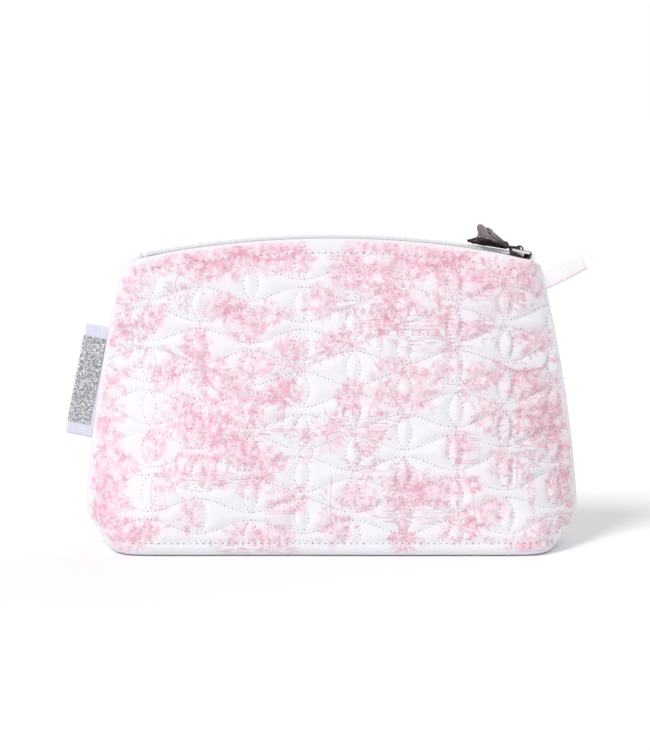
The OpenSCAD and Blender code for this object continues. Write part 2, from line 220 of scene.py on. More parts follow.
class BagSizes(bpy.types.PropertyGroup):
    """Sizes of the quilting, the stitches and the print."""

    quilt_pitch: length("Quilting pitch", "Distance from one column of lenses to the next", 24.1 * MM)
    quilt_rise: length("Quilting rise", "Height from one cell to the next above it", 19.65 * MM)
    quilt_half: length("Cell half height", "Mean half height of a quilted cell", 4.85 * MM)
    quilt_wave: length("Wave height", "How far the wave lines swing up and down", 3.17 * MM)
    quilt_x: length("Quilting start", "Where a column of cells lies right of the middle", 9.85 * MM)
    quilt_z: length("Quilting height", "Height of one cell's middle", 68.5 * MM)
    lens_w: length("Lens half width", "Half the width of the pointed lens in each cell", 3.5 * MM)
    lens_h: length("Lens half height", "Half the height of the pointed lens in each cell", 8 * MM)
    puff: length("Puff", "How far the cloth stands out between the lines of quilting", 1.45 * MM)
    puff_spread: length("Puff spread", "How quickly the cloth rises away from a line of quilting", 2.1 * MM)
    stitch: length("Quilting stitch", "Distance from one quilting stitch to the next", 1.9 * MM)
    ink_w: length("Print line", "Width of the print's lines", 0.17 * MM)


class BagColours(bpy.types.PropertyGroup):
    """Colours of the cloth, the print, the ribbon and the metal."""

    cotton: colour("Cotton", "Ground of the printed cotton", (0.87, 0.86, 0.91))
    ink: colour("Ink", "The print's lines", (0.87, 0.34, 0.49))
    wash: colour("Wash", "The cotton's tint where the print is dense", (0.93, 0.72, 0.79))
    lining: colour("Lining", "The lining cotton", (0.82, 0.78, 0.80))
    ribbon: colour("Ribbon", "Satin of the label", (0.67, 0.66, 0.82))
    tape: colour("Zip tape", "Woven tape of the zip", (0.91, 0.91, 0.95))
    hole: colour("Needle hole", "Shade inside the needle holes", (0.34, 0.31, 0.36))
    # The near-black is a painted dark reflection on the pull and the slider; their pale parts are painted
    # highlights.
    metal: colour("Pull", "Metal of the butterfly pull and the slider", (0.05, 0.03, 0.035))


def sizes():
    return bpy.context.scene.bag_sizes


def colours():
    return bpy.context.scene.bag_colours


# ---- Materials ---------------------------------------------------------------------------------------


class Finish:
    """A material being made, with short calls for the nodes that the finishes share."""

    def __init__(self, name, base, roughness, metallic=0.0, **sockets):
        self.material = bpy.data.materials.new(name)
        self.material.use_nodes = True
        self.tree = self.material.node_tree
        self.shader = self.tree.nodes["Principled BSDF"]
        self.set("Base Color", (*base, 1))
        self.set("Roughness", roughness)
        self.set("Metallic", metallic)
        for socket, value in sockets.items():
            self.set(socket.replace("_", " "), value)
        self.place = self.add("ShaderNodeTexCoord").outputs["Object"]
        self.height = None

    def set(self, socket, value):
        self.shader.inputs[socket].default_value = value

    def add(self, kind, links=None, **settings):
        """A node, with its settings and with links or values for its inputs."""
        node = self.tree.nodes.new(kind)
        for key, value in settings.items():
            setattr(node, key, value)
        for key, value in (links or {}).items():
            if isinstance(value, bpy.types.NodeSocket):
                self.tree.links.new(value, node.inputs[key])
            else:
                node.inputs[key].default_value = value
        return node

    def drive(self, socket, output):
        self.tree.links.new(output, self.shader.inputs[socket])

    def maths(self, operation, a, b):
        return self.add("ShaderNodeMath", {0: a, 1: b}, operation=operation).outputs[0]

    def between(self, value, low, high, out_low=0.0, out_high=1.0):
        links = {"Value": value, "From Min": low, "From Max": high, "To Min": out_low, "To Max": out_high}
        return self.add("ShaderNodeMapRange", links).outputs["Result"]

    def blend(self, factor, a, b):
        """Two colours mixed by a factor."""
        node = self.add("ShaderNodeMix", {"Factor": factor}, data_type="RGBA")
        for key, value in ((6, a), (7, b)):
            if isinstance(value, bpy.types.NodeSocket):
                self.tree.links.new(value, node.inputs[key])
            else:
                node.inputs[key].default_value = (*value, 1)
        return node.outputs[2]

    def noise(self, scale, detail=2.0, roughness=0.5, place=None):
        links = {"Vector": place or self.place, "Scale": scale, "Detail": detail, "Roughness": roughness}
        return self.add("ShaderNodeTexNoise", links).outputs["Fac"]

    def stretched(self, x, y, z):
        """The object's coordinates, scaled apart along each axis."""
        return self.add("ShaderNodeMapping", {"Vector": self.place, "Scale": (x, y, z)}).outputs["Vector"]

    def threads(self, pitch, axis, place=None, distortion=0.6):
        """Parallel threads a pitch apart along one axis."""
        links = {
            "Vector": place or self.place, "Scale": 0.314 / pitch, "Distortion": distortion, "Detail": 1.0,
            "Detail Scale": 1.5,
        }
        return self.add("ShaderNodeTexWave", links, bands_direction=axis).outputs["Fac"]

    def weave(self, pitch):
        """A plain weave of threads along X and Z."""
        return self.maths("MAXIMUM", self.threads(pitch, "X"), self.threads(pitch, "Z"))

    def emboss(self, height, depth, strength=1.0):
        """Adds a height to the surface's bump."""
        links = {"Height": height, "Distance": depth, "Strength": strength}
        if self.height is not None:
            links["Normal"] = self.height
        self.height = self.add("ShaderNodeBump", links).outputs["Normal"]
        self.drive("Normal", self.height)

    def attribute(self, name):
        return self.add("ShaderNodeAttribute", attribute_name=name).outputs["Fac"]


def dim(base, share):
    """A colour with each channel cut to a share."""
    return tuple(channel * share for channel in base)


def toward(base, level, share):
    """A colour moved a share of the way to a grey level."""
    return tuple(mix(channel, level, share) for channel in base)


def cotton_finish(name, base, print_wash=False):
    """Plain-woven cotton: fine threads with slubs, and a faint mottling."""
    finish = Finish(name, base, 0.86, Sheen_Weight=0.25, Sheen_Roughness=0.5)
    finish.set("Specular IOR Level", 0.25)
    slub = finish.noise(260, 3, 0.6, finish.stretched(1, 1, 4))
    weave = finish.weave(WEAVE_PITCH)
    darker = dim(base, 0.96)
    tone = finish.blend(finish.between(slub, 0.3, 0.7), darker, base)
    # Painted shade between the threads: darker where the weave is low.
    tone = finish.blend(finish.between(weave, 0.2, 0.9, 0.45, 0), tone, darker)
    if print_wash:
        mottle = finish.between(finish.noise(420, 4, 0.7), 0.38, 0.62)
        amount = finish.maths("MULTIPLY", finish.attribute("wash"), finish.between(mottle, 0, 1, 0.35, 1))
        tone = finish.blend(amount, tone, tuple(colours().wash))
    finish.drive("Base Color", tone)
    finish.drive("Roughness", finish.between(slub, 0.3, 0.7, 0.8, 0.92))
    finish.emboss(weave, 0.05 * MM, 0.35)
    finish.emboss(finish.noise(260, 4, 0.6), 0.25 * MM, 0.35)
    return finish.material


def ink_finish():
    """Printed ink: the cotton's own surface, in a colour that takes unevenly."""
    base = tuple(colours().ink)
    finish = Finish("printed_ink", base, 0.82)
    finish.set("Specular IOR Level", 0.2)
    patchy = finish.between(finish.noise(700, 3, 0.6), 0.35, 0.7)
    uneven = finish.maths("MULTIPLY", patchy, finish.between(finish.attribute("tone"), 0, 1, 0.9, 0.15))
    finish.drive("Base Color", finish.blend(uneven, base, toward(base, 0.9, 0.5)))
    finish.emboss(finish.weave(WEAVE_PITCH), 0.04 * MM, 0.3)
    return finish.material


def thread_finish():
    """Twisted polyester thread, with its plies showing as a fine diagonal."""
    finish = Finish("thread", (0.84, 0.84, 0.88), 0.55, Sheen_Weight=0.3)
    links = {"Vector": finish.place, "Rotation": (0, 0.7, 0)}
    twist = finish.add("ShaderNodeMapping", links).outputs["Vector"]
    plies = finish.threads(0.3 * MM, "X", twist, 0.2)
    # Painted shade in the grooves between the plies: darker where they are low.
    finish.drive("Base Color", finish.blend(plies, (0.70, 0.70, 0.76), (0.88, 0.88, 0.92)))
    finish.emboss(plies, 0.05 * MM, 0.6)
    return finish.material


def hole_finish():
    """The shaded dimple where the needle went in."""
    base = tuple(colours().hole)
    finish = Finish("needle_hole", base, 0.95)
    finish.drive("Base Color", finish.blend(finish.noise(600, 2), base, toward(base, 0.6, 0.3)))
    finish.emboss(finish.noise(2500, 2), 0.05 * MM, 0.5)
    return finish.material


def tape_finish(name, base, pitch=0.6 * MM):
    """Woven tape: a herringbone of fine ribs along its length."""
    finish = Finish(name, base, 0.7, Sheen_Weight=0.35, Sheen_Roughness=0.4)
    ribs = finish.threads(pitch, "X", distortion=0.3)
    courses = finish.threads(pitch * 1.6, "Y", distortion=0.3)
    height = finish.maths("MULTIPLY", ribs, courses)
    # Painted shade between the ribs: darker where the weave is low.
    finish.drive("Base Color", finish.blend(finish.between(height, 0, 0.6), dim(base, 0.93), base))
    finish.drive("Roughness", finish.between(ribs, 0, 1, 0.78, 0.6))
    finish.emboss(height, 0.12 * MM, 0.6)
    return finish.material


def coil_finish():
    """Moulded nylon filament, slightly cloudy."""
    finish = Finish("zip_coil", (0.93, 0.93, 0.96), 0.32, Subsurface_Weight=0.15, Subsurface_Scale=0.6 * MM)
    cloud = finish.noise(500, 3)
    finish.drive("Base Color", finish.blend(cloud, (0.90, 0.90, 0.94), (0.95, 0.95, 0.97)))
    finish.drive("Roughness", finish.between(cloud, 0.3, 0.7, 0.25, 0.42))
    finish.emboss(finish.noise(1800, 2), 0.02 * MM, 0.4)
    return finish.material


def satin_finish(name, base):
    """Satin ribbon: long fine floats with a soft sheen, and pale streaks along them that are a painted sheen.
    """
    finish = Finish(name, base, 0.36, Sheen_Weight=0.6, Sheen_Roughness=0.3, Anisotropic=0.5)
    floats = finish.noise(300, 3, 0.6, finish.stretched(9, 9, 0.6))
    # Painted sheen: streaks along the floats painted towards white.
    finish.drive("Base Color", finish.blend(finish.between(floats, 0.3, 0.7), base, toward(base, 1.0, 0.45)))
    finish.drive("Roughness", finish.between(floats, 0.3, 0.7, 0.3, 0.46))
    finish.emboss(finish.threads(0.35 * MM, "Z", distortion=0.2), 0.03 * MM, 0.4)
    return finish.material


def glitter_finish():
    """Silver glitter: small flakes in a dull binder, their tones from dark to pale a painted reflection of each
    flake turned its own way, with a few painted glints.
    """
    finish = Finish("silver_glitter", (0.42, 0.42, 0.44), 0.5, 0.35)
    cells = finish.add("ShaderNodeTexVoronoi", {"Vector": finish.place, "Scale": 1900.0}, feature="F1")
    value = finish.add("ShaderNodeSeparateColor", {"Color": cells.outputs["Color"]})
    # Painted reflection: each flake's tone, dark to pale, stands for the way it is turned.
    painted_flake_reflection = finish.between(value.outputs["Red"], 0.45, 0.75)
    tone = finish.blend(painted_flake_reflection, (0.30, 0.30, 0.32), (0.68, 0.68, 0.71))
    # Painted glints: a few flakes painted near white.
    painted_glint = finish.between(value.outputs["Green"], 0.86, 0.9)
    tone = finish.blend(painted_glint, tone, (0.9, 0.9, 0.92))
    finish.drive("Base Color", tone)
    finish.drive("Roughness", finish.between(value.outputs["Blue"], 0, 1, 0.3, 0.7))
    finish.emboss(value.outputs["Blue"], 0.1 * MM, 0.5)
    return finish.material


def loop_finish():
    """The loop's cotton, with a printed line along its lower edge."""
    base = (0.91, 0.90, 0.92)
    finish = Finish("loop_cotton", base, 0.85, Sheen_Weight=0.25)
    weave = finish.weave(WEAVE_PITCH)
    across = finish.attribute("across")
    broken = finish.between(finish.noise(700, 3), 0.32, 0.5)
    line = finish.maths("MULTIPLY", finish.between(across, 0.02, 0.06), finish.between(across, 0.16, 0.1))
    line = finish.maths("MULTIPLY", finish.maths("MULTIPLY", line, 0.6), broken)
    # Painted shade between the threads: darker where the weave is low.
    tone = finish.blend(finish.between(weave, 0.2, 0.9, 0.3, 0), base, dim(base, 0.93))
    finish.drive("Base Color", finish.blend(line, tone, tuple(colours().ink)))
    finish.emboss(weave, 0.05 * MM, 0.4)
    return finish.material


def metal_finish(name, base, roughness, polished=None):
    """Plated metal: fine scratches, a bloom where hands have worn it, and a painted highlight, a paler tone on
    the vertices that an attribute marks.
    """
    finish = Finish(name, base, roughness, 1.0)
    wear = finish.noise(220, 5, 0.65)
    scratches = finish.noise(900, 2, 0.5, finish.stretched(1, 9, 1))
    tone = finish.blend(finish.between(wear, 0.45, 0.75), base, toward(base, 0.9, 0.08))
    # Painted highlight: a pale colour mixed in where the attribute is 1, on the slider's top plate and the
    # wings' upper faces.
    if polished:
        tone = finish.blend(finish.attribute("painted_highlight"), tone, polished)
    finish.drive("Base Color", tone)
    finish.drive("Roughness", finish.between(wear, 0.3, 0.7, roughness * 0.75, roughness * 1.45))
    finish.emboss(scratches, 0.01 * MM, 0.35)
    return finish.material


def lacquer_finish(name, base):
    """Metal under white lacquer, worn a little at random."""
    finish = Finish(name, base, 0.4, 0.1, Coat_Weight=0.3)
    wear = finish.noise(900, 4, 0.6)
    finish.drive("Base Color", finish.blend(finish.between(wear, 0.55, 0.75), base, dim(base, 0.85)))
    finish.emboss(wear, 0.02 * MM, 0.4)
    return finish.material


# ---- Mesh helpers ------------------------------------------------------------------------------------


def add_piece(name, bm, material, smooth_angle=None):
    """Makes an object of a finished bmesh, with its place in its mesh."""
    mesh = bpy.data.meshes.new(name)
    bm.to_mesh(mesh)
    bm.free()
    mesh.polygons.foreach_set("use_smooth", np.ones(len(mesh.polygons), bool))
    if smooth_angle is not None:
        mesh.set_sharp_from_angle(angle=math.radians(smooth_angle))
    mesh.materials.append(material)
    piece = bpy.data.objects.new(name, mesh)
    bpy.context.scene.collection.objects.link(piece)
    return piece


def grid_of(bm, points):
    """Adds a grid whose corners lie at an array of points, rows by columns, and returns its vertices."""
    rows, cols = points.shape[:2]
    made = bmesh.ops.create_grid(bm, x_segments=cols - 1, y_segments=rows - 1, size=1)["verts"]
    for vert, place in zip(made, points.reshape(-1, 3).tolist()):
        vert.co = place
    return made


def faces_of(verts):
    return list({face for vert in verts for face in vert.link_faces})


def closed_shell(outer, inner):
    """A closed shell between two grids of points of the same rows and columns."""
    bm = bmesh.new()
    rims = []
    for points in (outer, inner):
        verts = grid_of(bm, points)
        rims += [edge for edge in {e for v in verts for e in v.link_edges} if edge.is_boundary]
    bmesh.ops.bridge_loops(bm, edges=sorted(rims, key=lambda edge: edge.index))
    bmesh.ops.recalc_face_normals(bm, faces=bm.faces)
    return bm


def cloth_sheet(points, thickness, thicken_from=None):
    """A sheet of cloth of even thickness through a grid of points, or to one side of it along a direction."""
    bm = bmesh.new()
    grid_of(bm, points)
    bmesh.ops.recalc_face_normals(bm, faces=bm.faces)
    if thicken_from is not None:
        facing = sum(face.normal.dot(thicken_from) for face in bm.faces)
        thickness = thickness if facing > 0 else -thickness
    bmesh.ops.solidify(bm, geom=list(bm.faces), thickness=thickness)
    return bm


def extruded(bm, outline, low, high):
    """Adds an outline of x and y points, extruded from one height to another, and returns its vertices."""
    verts = [bm.verts.new((x, y, low)) for x, y in outline]
    grown = bmesh.ops.extrude_face_region(bm, geom=[bm.faces.new(verts)])["geom"]
    top = [item for item in grown if isinstance(item, bmesh.types.BMVert)]
    bmesh.ops.translate(bm, verts=top, vec=(0, 0, high - low))
    bmesh.ops.recalc_face_normals(bm, faces=faces_of(verts + top))
    return verts + top


def prism(bm, outline, low, high, bevel, segments=2):
    """Adds an extruded outline with all its edges bevelled."""
    edges = list({edge for vert in extruded(bm, outline, low, high) for edge in vert.link_edges})
    bmesh.ops.bevel(
        bm, geom=edges, offset=bevel, affect="EDGES", segments=segments, profile=0.5, material=-1,
        clamp_overlap=True,
    )


def arc(x, z, radius_x, radius_z, degrees):
    """Points round an ellipse at the given angles in degrees."""
    return [(x + radius_x * math.cos(a), z + radius_z * math.sin(a)) for a in np.radians(degrees)]


def declare(piece, slot, body, *nodes):
    """Hides the nodes that a piece stands for and hangs the piece on the body it rides on. The slot is not
    used.
    """
    if nodes:
        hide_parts(*nodes)
    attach(piece, body)


def wire(bm, points, radius, sides=2, closed=False):
    """Adds a round wire along a line of points."""
    curve = bpy.data.curves.new("wire", "CURVE")
    curve.dimensions = "3D"
    curve.bevel_depth = radius
    curve.bevel_resolution = sides
    curve.use_fill_caps = True
    spline = curve.splines.new("POLY")
    spline.points.add(len(points) - 1)
    for target, point in zip(spline.points, points):
        target.co = (*point, 1)
    spline.use_cyclic_u = closed
    holder = bpy.data.objects.new("wire", curve)
    bpy.context.scene.collection.objects.link(holder)
    mesh = bpy.data.meshes.new_from_object(holder.evaluated_get(bpy.context.evaluated_depsgraph_get()))
    bm.from_mesh(mesh)
    bpy.data.objects.remove(holder)
    bpy.data.curves.remove(curve)
    bpy.data.meshes.remove(mesh)


def repeat(template, places, tangents, normals, scales=None):
    """A bmesh with the template at each place, its own X along the tangent and its Z along the normal."""
    shape = np.array([vert.co for vert in template.verts])
    loops = [[vert.index for vert in face.verts] for face in template.faces]
    across = np.cross(normals, tangents)
    turn = np.stack([tangents, across, normals], axis=-1)
    points = np.einsum("nij,kj->nki", turn, shape)
    if scales is not None:
        points *= scales[:, None, None]
    points += places[:, None]
    mesh = bpy.data.meshes.new("repeat")
    faces = [[i + n * len(shape) for i in loop] for n in range(len(places)) for loop in loops]
    mesh.from_pydata(points.reshape(-1, 3).tolist(), [], faces)
    template.free()
    made = bmesh.new()
    made.from_mesh(mesh)
    bpy.data.meshes.remove(mesh)
    return made


def stitch_shape(reach, width):
    """One stitch: a short thread, fullest in its middle."""
    bm = bmesh.new()
    bmesh.ops.create_uvsphere(bm, u_segments=5, v_segments=4, radius=0.5)
    bmesh.ops.rotate(bm, verts=bm.verts, cent=(0, 0, 0), matrix=Matrix.Rotation(math.pi / 2, 3, "Y"))
    bmesh.ops.scale(bm, verts=bm.verts, vec=(reach, width, width * 0.75))
    bm.verts.index_update()
    return bm


def hole_shape(radius):
    """One needle hole's painted shade: a small flat disc."""
    bm = bmesh.new()
    bmesh.ops.create_circle(bm, segments=6, radius=radius, cap_ends=True)
    bm.verts.index_update()
    return bm


# ---- The quilted halves ------------------------------------------------------------------------------

PANEL_COLS = 296
PANEL_ROWS = 160
PANEL_LOW = 0.4 * MM
EDGE_R = 0.9 * MM
BASE_TUCK = 1.2 * MM


def quilt_distances(x, z):
    """Distances to the nearest wave line and to the nearest lens line."""
    s = sizes()
    phase = math.pi * (x - s.quilt_x) / s.quilt_pitch
    swing = s.quilt_half + s.quilt_wave * np.cos(phase)
    slope = s.quilt_wave * math.pi / s.quilt_pitch * np.sin(phase)
    upright = np.minimum(
        np.abs(wrap(z - s.quilt_z - swing, s.quilt_rise)), np.abs(wrap(z - s.quilt_z + swing, s.quilt_rise))
    )
    wave = upright / np.sqrt(1 + slope**2)
    column = np.round((x - s.quilt_x) / s.quilt_pitch)
    off_x = np.abs(x - s.quilt_x - column * s.quilt_pitch)
    off_z = np.abs(wrap(z - s.quilt_z - (column % 2) * s.quilt_rise / 2, s.quilt_rise))
    t = off_z / s.lens_h
    bow = s.lens_w * (1 - t**2)
    beside = np.abs(off_x - bow) / np.sqrt(1 + (2 * s.lens_w * t / s.lens_h) ** 2)
    beyond = np.hypot(off_x, off_z - s.lens_h)
    return wave, np.where(off_z < s.lens_h, beside, beyond)


def ripple(x, z):
    """Slow unevenness of the padded cloth, about one unit high."""
    return (
        np.sin(x * 61 + 3 * np.sin(z * 47)) * np.sin(z * 83 + 2 * np.sin(x * 39 + 1))
        + 0.6 * np.sin(x * 171 + z * 113 + 2) * np.sin(z * 201 - x * 64)
    ) / 1.6


def puff_height(x, z, u, v):
    """How far the outer cloth stands out of the plain wall."""
    s = sizes()

    def rise(distance, spread):
        rounded = np.sqrt(distance**2 + (0.7 * MM) ** 2) - 0.7 * MM
        return 1 - np.exp(-rounded / spread)

    wave, lens = quilt_distances(x, z)
    below_edge = edge_z(u) - z
    to_top = below_edge - TOP_STITCH_DROP
    to_bottom = z - BOTTOM_STITCH_Z
    to_seam = (1 - np.abs(u)) * half_w(v)
    quilted = rise(wave, s.puff_spread) * rise(lens, s.puff_spread)
    body = quilted * rise(np.maximum(to_top, 0), 1.6 * MM) * rise(np.maximum(to_bottom, 0), 1.6 * MM)
    hem = 0.32 * rise(np.maximum(-to_top, 0), 1.5 * MM)
    foot = 0.5 * rise(np.maximum(-to_bottom, 0), 1.5 * MM)
    height = np.where(to_top < 0, hem, np.where(to_bottom < 0, foot, body))
    creases = ripple(4.3 * x + 0.02, 3.1 * z) * quilted * (1 - quilted)
    height = height + np.where((to_top > 0) & (to_bottom > 0), 0.55 * creases, 0)
    uneven = 1 + 0.28 * ripple(x, z)
    return s.puff * height * uneven * rise(to_seam, 2.5 * MM) + 0.35 * MM * ripple(x * 0.5, z * 0.5) * (
        smoothstep(to_seam / (12 * MM)) * smoothstep(below_edge / (14 * MM))
    )


class Skin:
    """The outer face of one quilted half: a grid of points over the wall's width and height fractions."""

    made = {}

    def __init__(self, side):
        self.side = side
        even = np.linspace(-1, 1, PANEL_COLS + 1)
        self.u = (even + np.sin(even * math.pi / 2)) / 2
        rise = np.linspace(0, 1, PANEL_ROWS + 1)
        self.v = mix(PANEL_LOW / PANEL_H, 1, 0.6 * rise + 0.2 * (1 - np.cos(rise * math.pi)))
        u, v = np.meshgrid(self.u, self.v)
        self.u_grid, self.v_grid = u, v
        plain = wall(u, v, 0, side)
        self.x, self.z = plain[..., 0], plain[..., 2]
        self.points = wall(u, v, -puff_height(self.x, self.z, u, v) + self.edge_round(), side)
        self.find_normals()

    def edge_round(self):
        """How far the cloth turns in at its upper and lower edges."""
        inset = np.zeros_like(self.x)
        for distance in (edge_z(self.u_grid) - self.z, self.z - PANEL_LOW):
            near = np.clip(EDGE_R - distance, 0, EDGE_R)
            inset += EDGE_R - np.sqrt(EDGE_R**2 - near**2)
        return inset

    def find_normals(self):
        along = np.gradient(self.points, axis=1)
        up = np.gradient(self.points, axis=0)
        normal = np.cross(along, up) * -self.side
        self.normals = normal / np.linalg.norm(normal, axis=-1, keepdims=True)

    def at(self, x, z, lift):
        """Points lifted off the outer face, and the normals there, over x and z seen from the front."""
        u, v = fractions(x, z)
        col = np.interp(u, self.u, np.arange(len(self.u)))
        row = np.interp(v, self.v, np.arange(len(self.v)))
        i = np.minimum(col.astype(int), len(self.u) - 2)
        k = np.minimum(row.astype(int), len(self.v) - 2)
        a, b = (col - i)[..., None], (row - k)[..., None]

        def sample(field):
            low = mix(field[k, i], field[k, i + 1], a)
            high = mix(field[k + 1, i], field[k + 1, i + 1], a)
            return mix(low, high, b)

        normal = sample(self.normals)
        normal /= np.linalg.norm(normal, axis=-1, keepdims=True)
        return sample(self.points) + normal * lift, normal

    @classmethod
    def of(cls, side):
        if side not in cls.made:
            cls.made[side] = cls(side)
        return cls.made[side]


def join_half(piece):
    """Bakes a piece's placement into its mesh and reads its vertex positions, which nothing uses."""
    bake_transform(piece)
    places = np.zeros(len(piece.data.vertices) * 3)
    piece.data.vertices.foreach_get("co", places)


def paint(piece, name, values):
    """Gives each vertex of a piece a value that its material reads."""
    attribute = piece.data.attributes.new(name, "FLOAT", "POINT")
    attribute.data.foreach_set("value", np.asarray(values, np.float32))


def inner_inset(z):
    """Depth of the panel's inner face: the full wadding below, a thin hem at the mouth."""
    return mix(LINING_IN - LAYER_GAP, HEM_T, smoothstep((z - WADDING_TOP) / HEM_RAMP))


class BAG_OT_panels(bpy.types.Operator):
    """Make the quilted front and back panels"""

    bl_idname = "bag.panels"
    bl_label = "Quilted Panels"

    def execute(self, context):
        material = cotton_finish("printed_cotton", tuple(colours().cotton), print_wash=True)
        for half, side in HALVES.items():
            skin = Skin.of(side)
            inner = wall(skin.u_grid, skin.v_grid, inner_inset(skin.z), side)
            piece = add_piece(half + "_panel", closed_shell(skin.points, inner), material)
            places = np.array([vert.co for vert in piece.data.vertices])
            paint(piece, "wash", wash_at(places[:, 0] / MM, places[:, 2] / MM, side))
            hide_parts(half + "_outer", half + "_wadding")
            join_half(piece)
        return {"FINISHED"}


class BAG_OT_base(bpy.types.Operator):
    """Make the padded base and its lining"""

    bl_idname = "bag.base"
    bl_label = "Base"

    def execute(self, context):
        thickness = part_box("base_wadding")[1].z
        u = np.sin(np.linspace(-1, 1, 141) * math.pi / 2)
        t = np.linspace(-1, 1, 61)
        u_grid, t_grid = np.meshgrid(u, t)

        def layer(inset, z):
            edge = wall(u_grid, 0 * u_grid, inset, BACK)
            return np.stack([edge[..., 0], edge[..., 1] * t_grid, z + 0 * u_grid], axis=-1)

        to_edge = np.minimum(1 - np.abs(u_grid), 1 - np.abs(t_grid))
        tuck = BASE_TUCK * (1 - smoothstep(to_edge / 0.05)) ** 2
        under = layer(0.1 * MM, 0.02 * MM + tuck)
        piece = add_piece(
            "base_panel", closed_shell(under, layer(1.0 * MM, thickness)),
            cotton_finish("base_cotton", tuple(colours().cotton)),
        )
        declare(piece, "printed_cotton", "base", "base_outer", "base_wadding")

        low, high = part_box("base_lining")
        cloth = layer(4.2 * MM, low.z + LINING_T)
        lining = add_piece(
            "base_lining_cloth", cloth_sheet(cloth, LINING_T),
            cotton_finish("base_lining_cotton", tuple(colours().lining)),
        )
        declare(lining, "lining_cotton", "base", "base_lining")
        return {"FINISHED"}


class BAG_OT_lining(bpy.types.Operator):
    """Make the lining of the front and back"""

    bl_idname = "bag.lining"
    bl_label = "Lining"

    def execute(self, context):
        material = cotton_finish("lining_cotton", tuple(colours().lining))
        u = np.sin(np.linspace(-1, 1, 121) * math.pi / 2)
        v = np.linspace(PANEL_LOW / PANEL_H, LINING_TOP / PANEL_H, 61)
        u_grid, v_grid = np.meshgrid(u, v)
        for half, side in HALVES.items():
            slack = 0.25 * MM * ripple(u_grid * 0.3, v_grid * 0.4)
            points = wall(u_grid, v_grid, LINING_IN + slack, side)
            cloth = cloth_sheet(points, LINING_T, Vector((0, side, 0)))
            piece = add_piece(half + "_lining_cloth", cloth, material)
            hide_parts(half + "_lining")
            join_half(piece)
        return {"FINISHED"}


# ---- Stitching ---------------------------------------------------------------------------------------


def quilting_lines():
    """Every line of quilting, as arrays of x and z over the whole panel and beyond."""
    s = sizes()
    x = np.arange(-HALF_BELLY_W, HALF_BELLY_W, 0.25 * MM)
    swing = s.quilt_half + s.quilt_wave * np.cos(math.pi * (x - s.quilt_x) / s.quilt_pitch)
    for k in range(-5, 6):
        for way in (1, -1):
            yield x, s.quilt_z + k * s.quilt_rise + way * swing
    t = np.linspace(-1, 1, 64)
    for i in range(-6, 6):
        for k in range(-5, 6):
            for way in (1, -1):
                middle_z = s.quilt_z + (k + (i % 2) / 2) * s.quilt_rise
                yield s.quilt_x + i * s.quilt_pitch + way * s.lens_w * (1 - t**2), middle_z + t * s.lens_h


def inside_runs(x, z):
    """The stretches of a line that lie in the quilted part of a panel."""
    u, v = fractions(x, z)
    inside = (np.abs(x) < SEAM_KEEP * half_w(v)) & (z > BOTTOM_STITCH_Z) & (z < edge_z(u) - TOP_STITCH_DROP)
    cuts = np.flatnonzero(np.diff(inside.astype(int))) + 1
    for run_x, run_z, run_in in zip(np.split(x, cuts), np.split(z, cuts), np.split(inside, cuts)):
        if run_in[0] and len(run_x) > 8:
            yield run_x, run_z


def spaced(skin, x, z, pitch, lift):
    """Places a pitch apart along a line on the skin, with the line's direction and the normal at each."""
    points, normals = skin.at(x, z, lift)
    steps = np.linalg.norm(np.diff(points, axis=0), axis=1)
    gone = np.concatenate([[0], np.cumsum(steps)])
    count = max(int(gone[-1] / pitch), 1)
    marks = (np.arange(count) + 0.5) * gone[-1] / count
    half = min(0.4 * pitch, gone[-1] / (2 * count))

    def at(where, field=points):
        return np.stack([np.interp(where, gone, field[:, axis]) for axis in range(3)], axis=-1)

    tangents = at(marks + half) - at(marks - half)
    tangents /= np.linalg.norm(tangents, axis=1, keepdims=True)
    normal = at(marks, normals)
    normal -= tangents * np.sum(tangents * normal, axis=1, keepdims=True)
    normal /= np.linalg.norm(normal, axis=1, keepdims=True)
    return at(marks), tangents, normal, at(marks + pitch / 2)


def sewn_lines(half, side, name, lines, pitch, thread_d, hole_r, node=None):
    """Stitches along lines on a half, and dark discs of painted shade at the needle holes between them."""
    skin = Skin.of(side)
    found = [spaced(skin, x, z, pitch, 0.04 * MM) for x, z in lines]
    places, tangents, normals, ends = (np.concatenate([run[i] for run in found]) for i in range(4))
    threads = repeat(stitch_shape(pitch * 0.74, thread_d), places, tangents, normals)
    piece = add_piece(f"{half}_{name}", threads, bpy.data.materials["thread"])
    if node:
        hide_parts(node)
    join_half(piece)
    uneven = np.random.default_rng(len(places)).uniform(-1, 1, (2, len(places)))
    ends += tangents * uneven[0][:, None] * 0.2 * MM
    # Painted shade: dark discs just off the cloth where the needle went in.
    holes = repeat(hole_shape(hole_r), ends + normals * 0.06 * MM, tangents, normals, 1 + 0.4 * uneven[1])
    dark = add_piece(f"{half}_{name}_holes", holes, bpy.data.materials["needle_hole"])
    join_half(dark)


class BAG_OT_quilting(bpy.types.Operator):
    """Sew the quilting: wave lines and pointed lenses"""

    bl_idname = "bag.quilting"
    bl_label = "Quilting Stitches"

    def execute(self, context):
        thread_finish()
        hole_finish()
        lines = [run for x, z in quilting_lines() for run in inside_runs(x, z)]
        for half, side in HALVES.items():
            sewn_lines(half, side, "quilting", lines, sizes().stitch, 0.3 * MM, 0.25 * MM)
        return {"FINISHED"}


